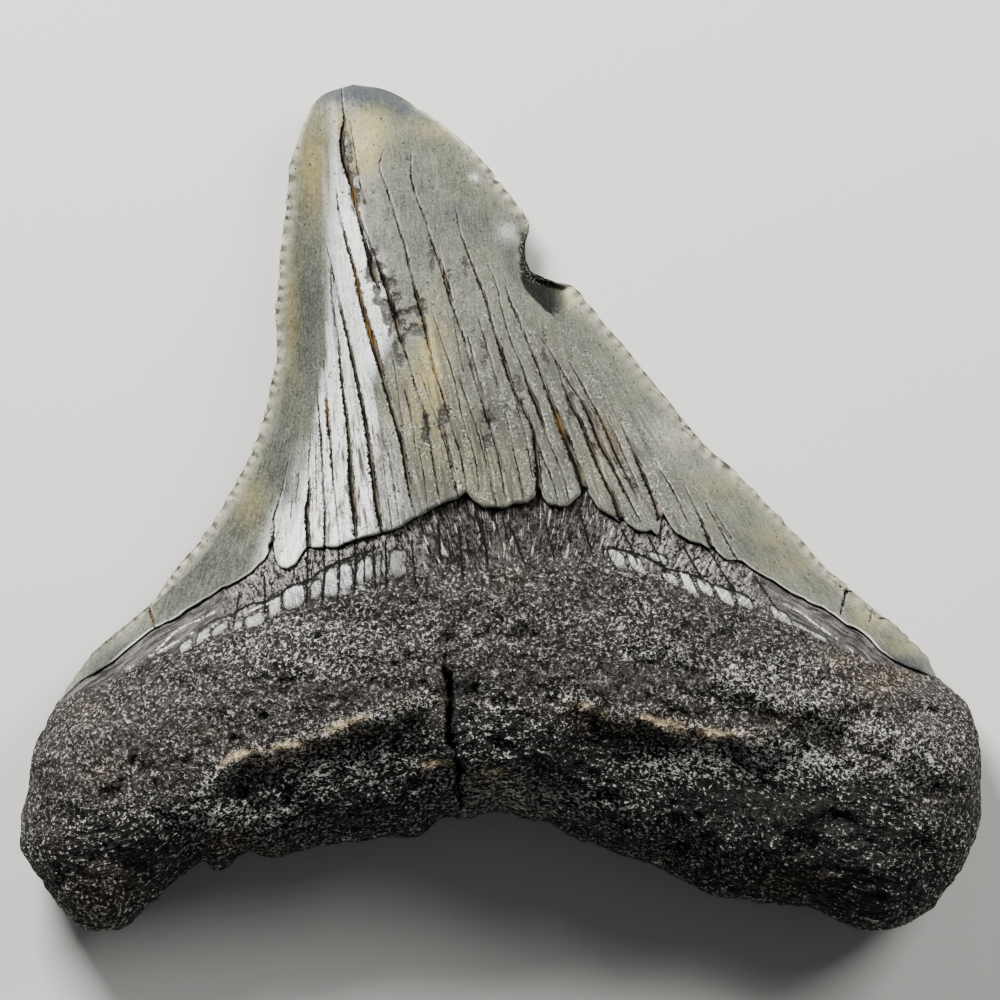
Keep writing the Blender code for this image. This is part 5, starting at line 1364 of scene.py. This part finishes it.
def root_material(colours):
    """Fossil dentine and its band: porous phosphate rock, black-brown, with pale crests where it is worn.
    It is rough and dull but for small glints; the band and its tiles are smoother."""
    material, tree, shader, place, flow, value = new_material("fossil_dentine", (
        "band", "flank", "wing", "tile_distance", "tile_tone", "slit_side", "slit_near", "filament", "gap",
        "tan", "pale", "crest", "low"))
    # Even patterns, each with its size in millimetres, detail, roughness and distortion: dark mottling, the
    # upper root's worm-like grain, grit, and the pieces that the band's filaments break into
    cloud, even, gritty, pieces = [
        add(tree, NOISE, {"Vector": place, "Scale": per_metre(size), "Detail": detail, "Roughness": roughness,
                          "Distortion": distortion})
        for size, detail, roughness, distortion in ((1.8, 4, 0.5, 0), (0.42, 1.5, 0.5, 0.7), (0.3, 3, 0.7, 0),
                                                    (1.3, 3, 0.7, 0))]
    # Patterns drawn out along the surface's flow, each with its sizes along the enamel's edge, away from it
    # and up in millimetres, detail, roughness and distortion: the lower root's grain, the band's fibres, its
    # hair cracks and the smears on its wings
    drawn, fibre, split, smear = [
        add(tree, NOISE, {"Vector": add(tree, MAPPING, {"Vector": flow, "Scale": (1 / a, 1 / b, 1 / c)}),
                          "Scale": 1.0, "Detail": detail, "Roughness": roughness, "Distortion": distortion})
        for a, b, c, detail, roughness, distortion in (
            (1.1, 0.4, 0.5, 2, 0.5, 0.9), (0.22, 1.5, 1, 3, 0.65, 0), (0.8, 4, 1, 2, 0.5, 0.3),
            (2.5, 0.25, 1, 4, 0.7, 0))]
    worm, fleck_and_glint, grain_layers = root_grain(tree, colours, value, cloud, even, drawn, gritty)
    band = band_colour(tree, colours, value, fibre, split, smear, gritty)
    tile, marks = tile_layers(tree, colours, value, fibre, gritty, pieces)
    colour = painted(tree, colours.root_dark, [*grain_layers, (band, value["band"]), *marks])

    sheen = add(tree, MATHS, [value["wing"], value["band"]], **TIMES)
    sheen = add(tree, MATHS, [sheen, 0.35], **TIMES)
    for part in (tile, fleck_and_glint):
        sheen = add(tree, MATHS, [sheen, part], **MOST)
    rough = add(tree, REMAP, [sheen, 0, 1, 0.85, 0.35])
    gloss = add(tree, REMAP, [sheen, 0, 1, 0.12, 0.5])
    rise = add(tree, MATHS, [add(tree, MATHS, [worm, gritty], **PLUS),
                             add(tree, REMAP, [value["band"], 0, 1, 1, 0.3])], **TIMES)
    bump = add(tree, BUMP, {"Strength": 0.9, "Distance": 0.16 * MM, "Height": rise})
    strands = add(tree, MATHS, [fibre, value["band"]], **TIMES)
    bump = add(tree, BUMP, {"Strength": 0.7, "Distance": 0.15 * MM, "Height": strands, "Normal": bump})
    finish(tree, shader, colour, rough, gloss, bump, 1.55)
    return material


def paper_material(colours):
    """Seamless studio paper: matt and pale, with a faint tooth 0.8 mm across."""
    material, tree, shader, place, _, _ = new_material("studio_paper", ())
    tooth = add(tree, NOISE, {"Vector": place, "Scale": per_metre(0.8), "Detail": 3.0})
    bump = add(tree, BUMP, {"Strength": 0.1, "Distance": 0.05 * MM, "Height": tooth})
    tree.links.new(bump.outputs[0], shader.inputs["Normal"])
    shader.inputs["Base Color"].default_value = (*colours.paper, 1)
    shader.inputs["Roughness"].default_value = 0.9
    return material


# ---------------------------------------------------------------------------------------------------------
# Settings, operators and panel
# ---------------------------------------------------------------------------------------------------------

def tint(name, code, description):
    """A colour property whose default is an sRGB hex value."""
    return FloatVectorProperty(name=name, description=description, subtype="COLOR", size=3, min=0, max=1,
                               default=linear(code))


class ToothColours(bpy.types.PropertyGroup):
    """The colours of the tooth and its stage."""
    # The enamel runs from its dark to its light colour with its mottling, and towards the dark one as painted
    # shade under the SHADED ellipses by the bite and the right wing's end
    enamel_dark: tint("Enamel, dark", "272B26", "Darker mottling of the enamel")
    enamel_light: tint("Enamel, light", "787A69", "Lighter mottling of the enamel")
    # The bleached colour also serves as painted sheen on the worn strips and as the painted highlight on the
    # cracks' right walls
    bleached_and_highlight: tint("Bleached enamel", "ECEDEA", "Worn strips between the cracks on the left flank")
    yellow: tint("Yellow stain", "9A8D54", "Iron stain in the enamel")
    # The blue also lays painted shade on the right wing's lower end
    blue: tint("Blue stain", "2E353B", "Phosphate stain near the tip and in the middle")
    gold: tint("Golden earth", "84622C", "Iron-rich earth in some of the cracks")
    rim: tint("Cutting edge", "C2BFA6", "Cream of the serrated cutting edges")
    rim_gap: tint("Serration gaps", "38372A", "Gaps between the teeth of the cutting edges")
    striation: tint("Striations", "4A473E", "Shade in the fine striations")
    pit: tint("Pits", "2A2A26", "Pin-prick pits in the enamel")
    broken: tint("Broken enamel", "2E2A26", "Rough patches where enamel flaked off")
    # Painted shadow on the scoop's floor beside the bite and under the enamel's lip
    bed: tint("Bite bed", "131210", "Bed of the scoop beside the bite")
    lip: tint("Enamel lip", "DAD9D0", "Rolled lower edge of the enamel")
    # Black in the cracks: dark earth, and painted shadow under their left walls
    crack: tint("Cracks", "0E0B09", "Earth in the cracks")
    crack_floor: tint("Crack floors", "6A6253", "Worn floors of the wide cracks")
    root_dark: tint("Root, dark", "080706", "Hollows of the root")
    # The skin's colour is laid mostly above the ridge line; its fade below is painted shade
    root_light: tint("Root, light", "322E2A", "Skin of the root")
    root_grey: tint("Root, grey", "6C6964", "Worn crests of the root's grain")
    # Pale flecks on the root's crests, which also stand in as painted glints, and the band's painted glints
    # and pale filaments
    fleck_and_glint: tint("Flecks", "CBC9C3", "Brightest crests of the root's grain")
    tan: tint("Tan earth", "4A3826", "Earth that fills the root's hollows")
    cream: tint("Cream crests", "DCC69C", "Crests of the root's grain in the tan earth")
    band_dark: tint("Band, dark", "171412", "Dark band, between its fibres")
    band_light: tint("Band, light", "4F4A45", "Dark band, on its fibres")
    band_flank: tint("Band, flanks", "85827C", "Rubbed band beside the tiles")
    tile: tint("Tiles", "C4C3C0", "Bright tiles along the band")
    gap: tint("Gaps", "050504", "Shadow under the enamel's edge, in slits and in the groove")
    paper: tint("Paper", "E4E2DD", "Studio paper under the tooth")


class ToothDetail(bpy.types.PropertyGroup):
    """How finely the tooth is modelled."""
    crown_rows: IntProperty(name="Crown rows", description="Rows from the tip to the enamel's edge",
                            default=240, min=60, max=260)
    crown_columns: IntProperty(name="Crown columns", default=351, min=101, max=361, step=10,
                               description="Lingual columns, a multiple of ten plus one")
    root_columns: IntProperty(name="Root columns", description="Columns from the left corner to the right",
                              default=460, min=120, max=480)
    root_rim_rows: IntProperty(name="Root wall rows", description="Rows over the root's rounded wall",
                               default=52, min=12, max=60)
    root_face_rows: IntProperty(name="Root face rows", description="Rows over the rest of its lingual face",
                                default=104, min=30, max=110)
    root_back_rows: IntProperty(name="Root back rows", description="Rows over the root's labial face",
                                default=56, min=16, max=60)


class StageSettings(bpy.types.PropertyGroup):
    """The floor, the camera and the lights."""
    floor_size: FloatProperty(name="Floor", description="Side of the square floor", default=1.6,
                              unit="LENGTH", min=0.2)
    camera_height: FloatProperty(name="Camera height", description="Height of the camera over the floor",
                                 default=0.9, unit="LENGTH", min=0.3)
    view_width: FloatProperty(name="View width", description="Width of the view at the tooth's edges",
                              default=0.081, unit="LENGTH", min=0.02)
    key_power: FloatProperty(name="Key light", default=4.8, unit="POWER", min=0,
                             description="Power of the soft light beyond the tip, to the left")
    side_power: FloatProperty(name="Side light", description="Power of the soft light to the right",
                              default=1.5, unit="POWER", min=0)
    room: FloatProperty(name="Room light", description="Brightness of the room around", default=0.10, min=0)
    room_colour: tint("Room colour", "EDEFF2", "Colour of the room around")


class FossilTooth(bpy.types.PropertyGroup):
    """Everything that a user can set."""
    colours: PointerProperty(type=ToothColours)
    detail: PointerProperty(type=ToothDetail)
    stage: PointerProperty(type=StageSettings)


class TOOTH_OT_crown(bpy.types.Operator):
    """Build the enamel crown"""
    bl_idname = "tooth.crown"
    bl_label = "Enamel crown"

    def execute(self, context):
        settings = context.scene.fossil_tooth
        material = enamel_material(settings.colours)
        crown = make_crown(material, settings.detail.crown_rows, settings.detail.crown_columns)
        settle(crown)
        return {"FINISHED"}


class TOOTH_OT_root(bpy.types.Operator):
    """Build the root with its dark band"""
    bl_idname = "tooth.root"
    bl_label = "Root and dark band"

    def execute(self, context):
        settings = context.scene.fossil_tooth
        detail = settings.detail
        root = make_root(root_material(settings.colours), detail.root_rim_rows, detail.root_face_rows,
                         detail.root_back_rows, detail.root_columns)
        settle(root)
        return {"FINISHED"}


class TOOTH_OT_stage(bpy.types.Operator):
    """Build the floor, the camera and the lights"""
    bl_idname = "tooth.stage"
    bl_label = "Stage"

    def execute(self, context):
        settings = context.scene.fossil_tooth
        make_floor(settings.stage.floor_size, paper_material(settings.colours))
        make_camera(context.scene, settings.stage)
        make_lights(context.scene, settings.stage)
        return {"FINISHED"}


class TOOTH_PT_panel(bpy.types.Panel):
    """Buttons for each part of the scene"""
    bl_label = "Fossil tooth"
    bl_idname = "TOOTH_PT_panel"
    bl_space_type = "VIEW_3D"
    bl_region_type = "UI"
    bl_category = "Fossil tooth"

    def draw(self, context):
        for operator in OPERATORS:
            self.layout.operator(operator.bl_idname)


OPERATORS = (TOOTH_OT_crown, TOOTH_OT_root, TOOTH_OT_stage)
CLASSES = (ToothColours, ToothDetail, StageSettings, FossilTooth, *OPERATORS, TOOTH_PT_panel)


OUTLINE_HEIGHT = 4 * MM          # mean height of the tooth's outline, where the view's width is measured
CAMERA_CENTRE = (-0.04 * MM, 0.59 * MM)
# The soft boxes: name, place and the side of their square, in metres
LIGHTS = (("key", (-0.15, 0.31, 0.20), 0.16), ("side", (0.28, 0.22, 0.24), 0.20))


def settle(piece):
    """Join a new piece to the frame: it moves with the tooth's body and stands for its solid."""
    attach(piece, "root")
    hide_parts("tooth")


def make_floor(size, material):
    """A square sheet of paper that lies flat, a hair below the tooth."""
    half = size / 2
    corners = [(x * half, y * half, -0.05 * MM) for x, y in ((-1, -1), (1, -1), (1, 1), (-1, 1))]
    mesh = bpy.data.meshes.new("floor")
    mesh.from_pydata(corners, [], [(0, 1, 2, 3)])
    mesh.materials.append(material)
    floor = bpy.data.objects.new("floor", mesh)
    bpy.context.collection.objects.link(floor)


def make_camera(scene, stage):
    """A long lens that looks straight down on the tooth, with the tip at the top of the picture."""
    data = bpy.data.cameras.new("camera")
    data.lens = data.sensor_width * (stage.camera_height - OUTLINE_HEIGHT) / stage.view_width
    camera = bpy.data.objects.new("camera", data)
    camera.location = (*CAMERA_CENTRE, stage.camera_height)
    bpy.context.collection.objects.link(camera)
    scene.camera = camera


def make_lights(scene, stage):
    """Soft boxes beyond the tip, and an even room."""
    for name, place, size in LIGHTS:
        data = bpy.data.lights.new(name, "AREA")
        data.shape = "SQUARE"
        data.size = size
        data.energy = getattr(stage, name + "_power")
        light = bpy.data.objects.new(name, data)
        light.location = place
        light.rotation_euler = (-Vector(place)).to_track_quat("-Z", "Y").to_euler()
        bpy.context.collection.objects.link(light)
    world = bpy.data.worlds.new("room")
    world.use_nodes = True
    background = world.node_tree.nodes["Background"]
    background.inputs["Color"].default_value = (*stage.room_colour, 1)
    background.inputs["Strength"].default_value = stage.room
    scene.world = world


def register():
    """Register the classes and hang the settings on the scene."""
    for item in CLASSES:
        bpy.utils.register_class(item)
    bpy.types.Scene.fossil_tooth = PointerProperty(type=FossilTooth)


def unregister():
    """Take the settings and the classes away again."""
    del bpy.types.Scene.fossil_tooth
    for item in reversed(CLASSES):
        bpy.utils.unregister_class(item)


def main():
    """Build the whole scene."""
    register()
    for operator in OPERATORS:
        group, name = operator.bl_idname.split(".")
        if getattr(getattr(bpy.ops, group), name)() != {"FINISHED"}:
            raise RuntimeError(f"{operator.bl_idname} didn't finish")


if __name__ == "__main__":
    main()
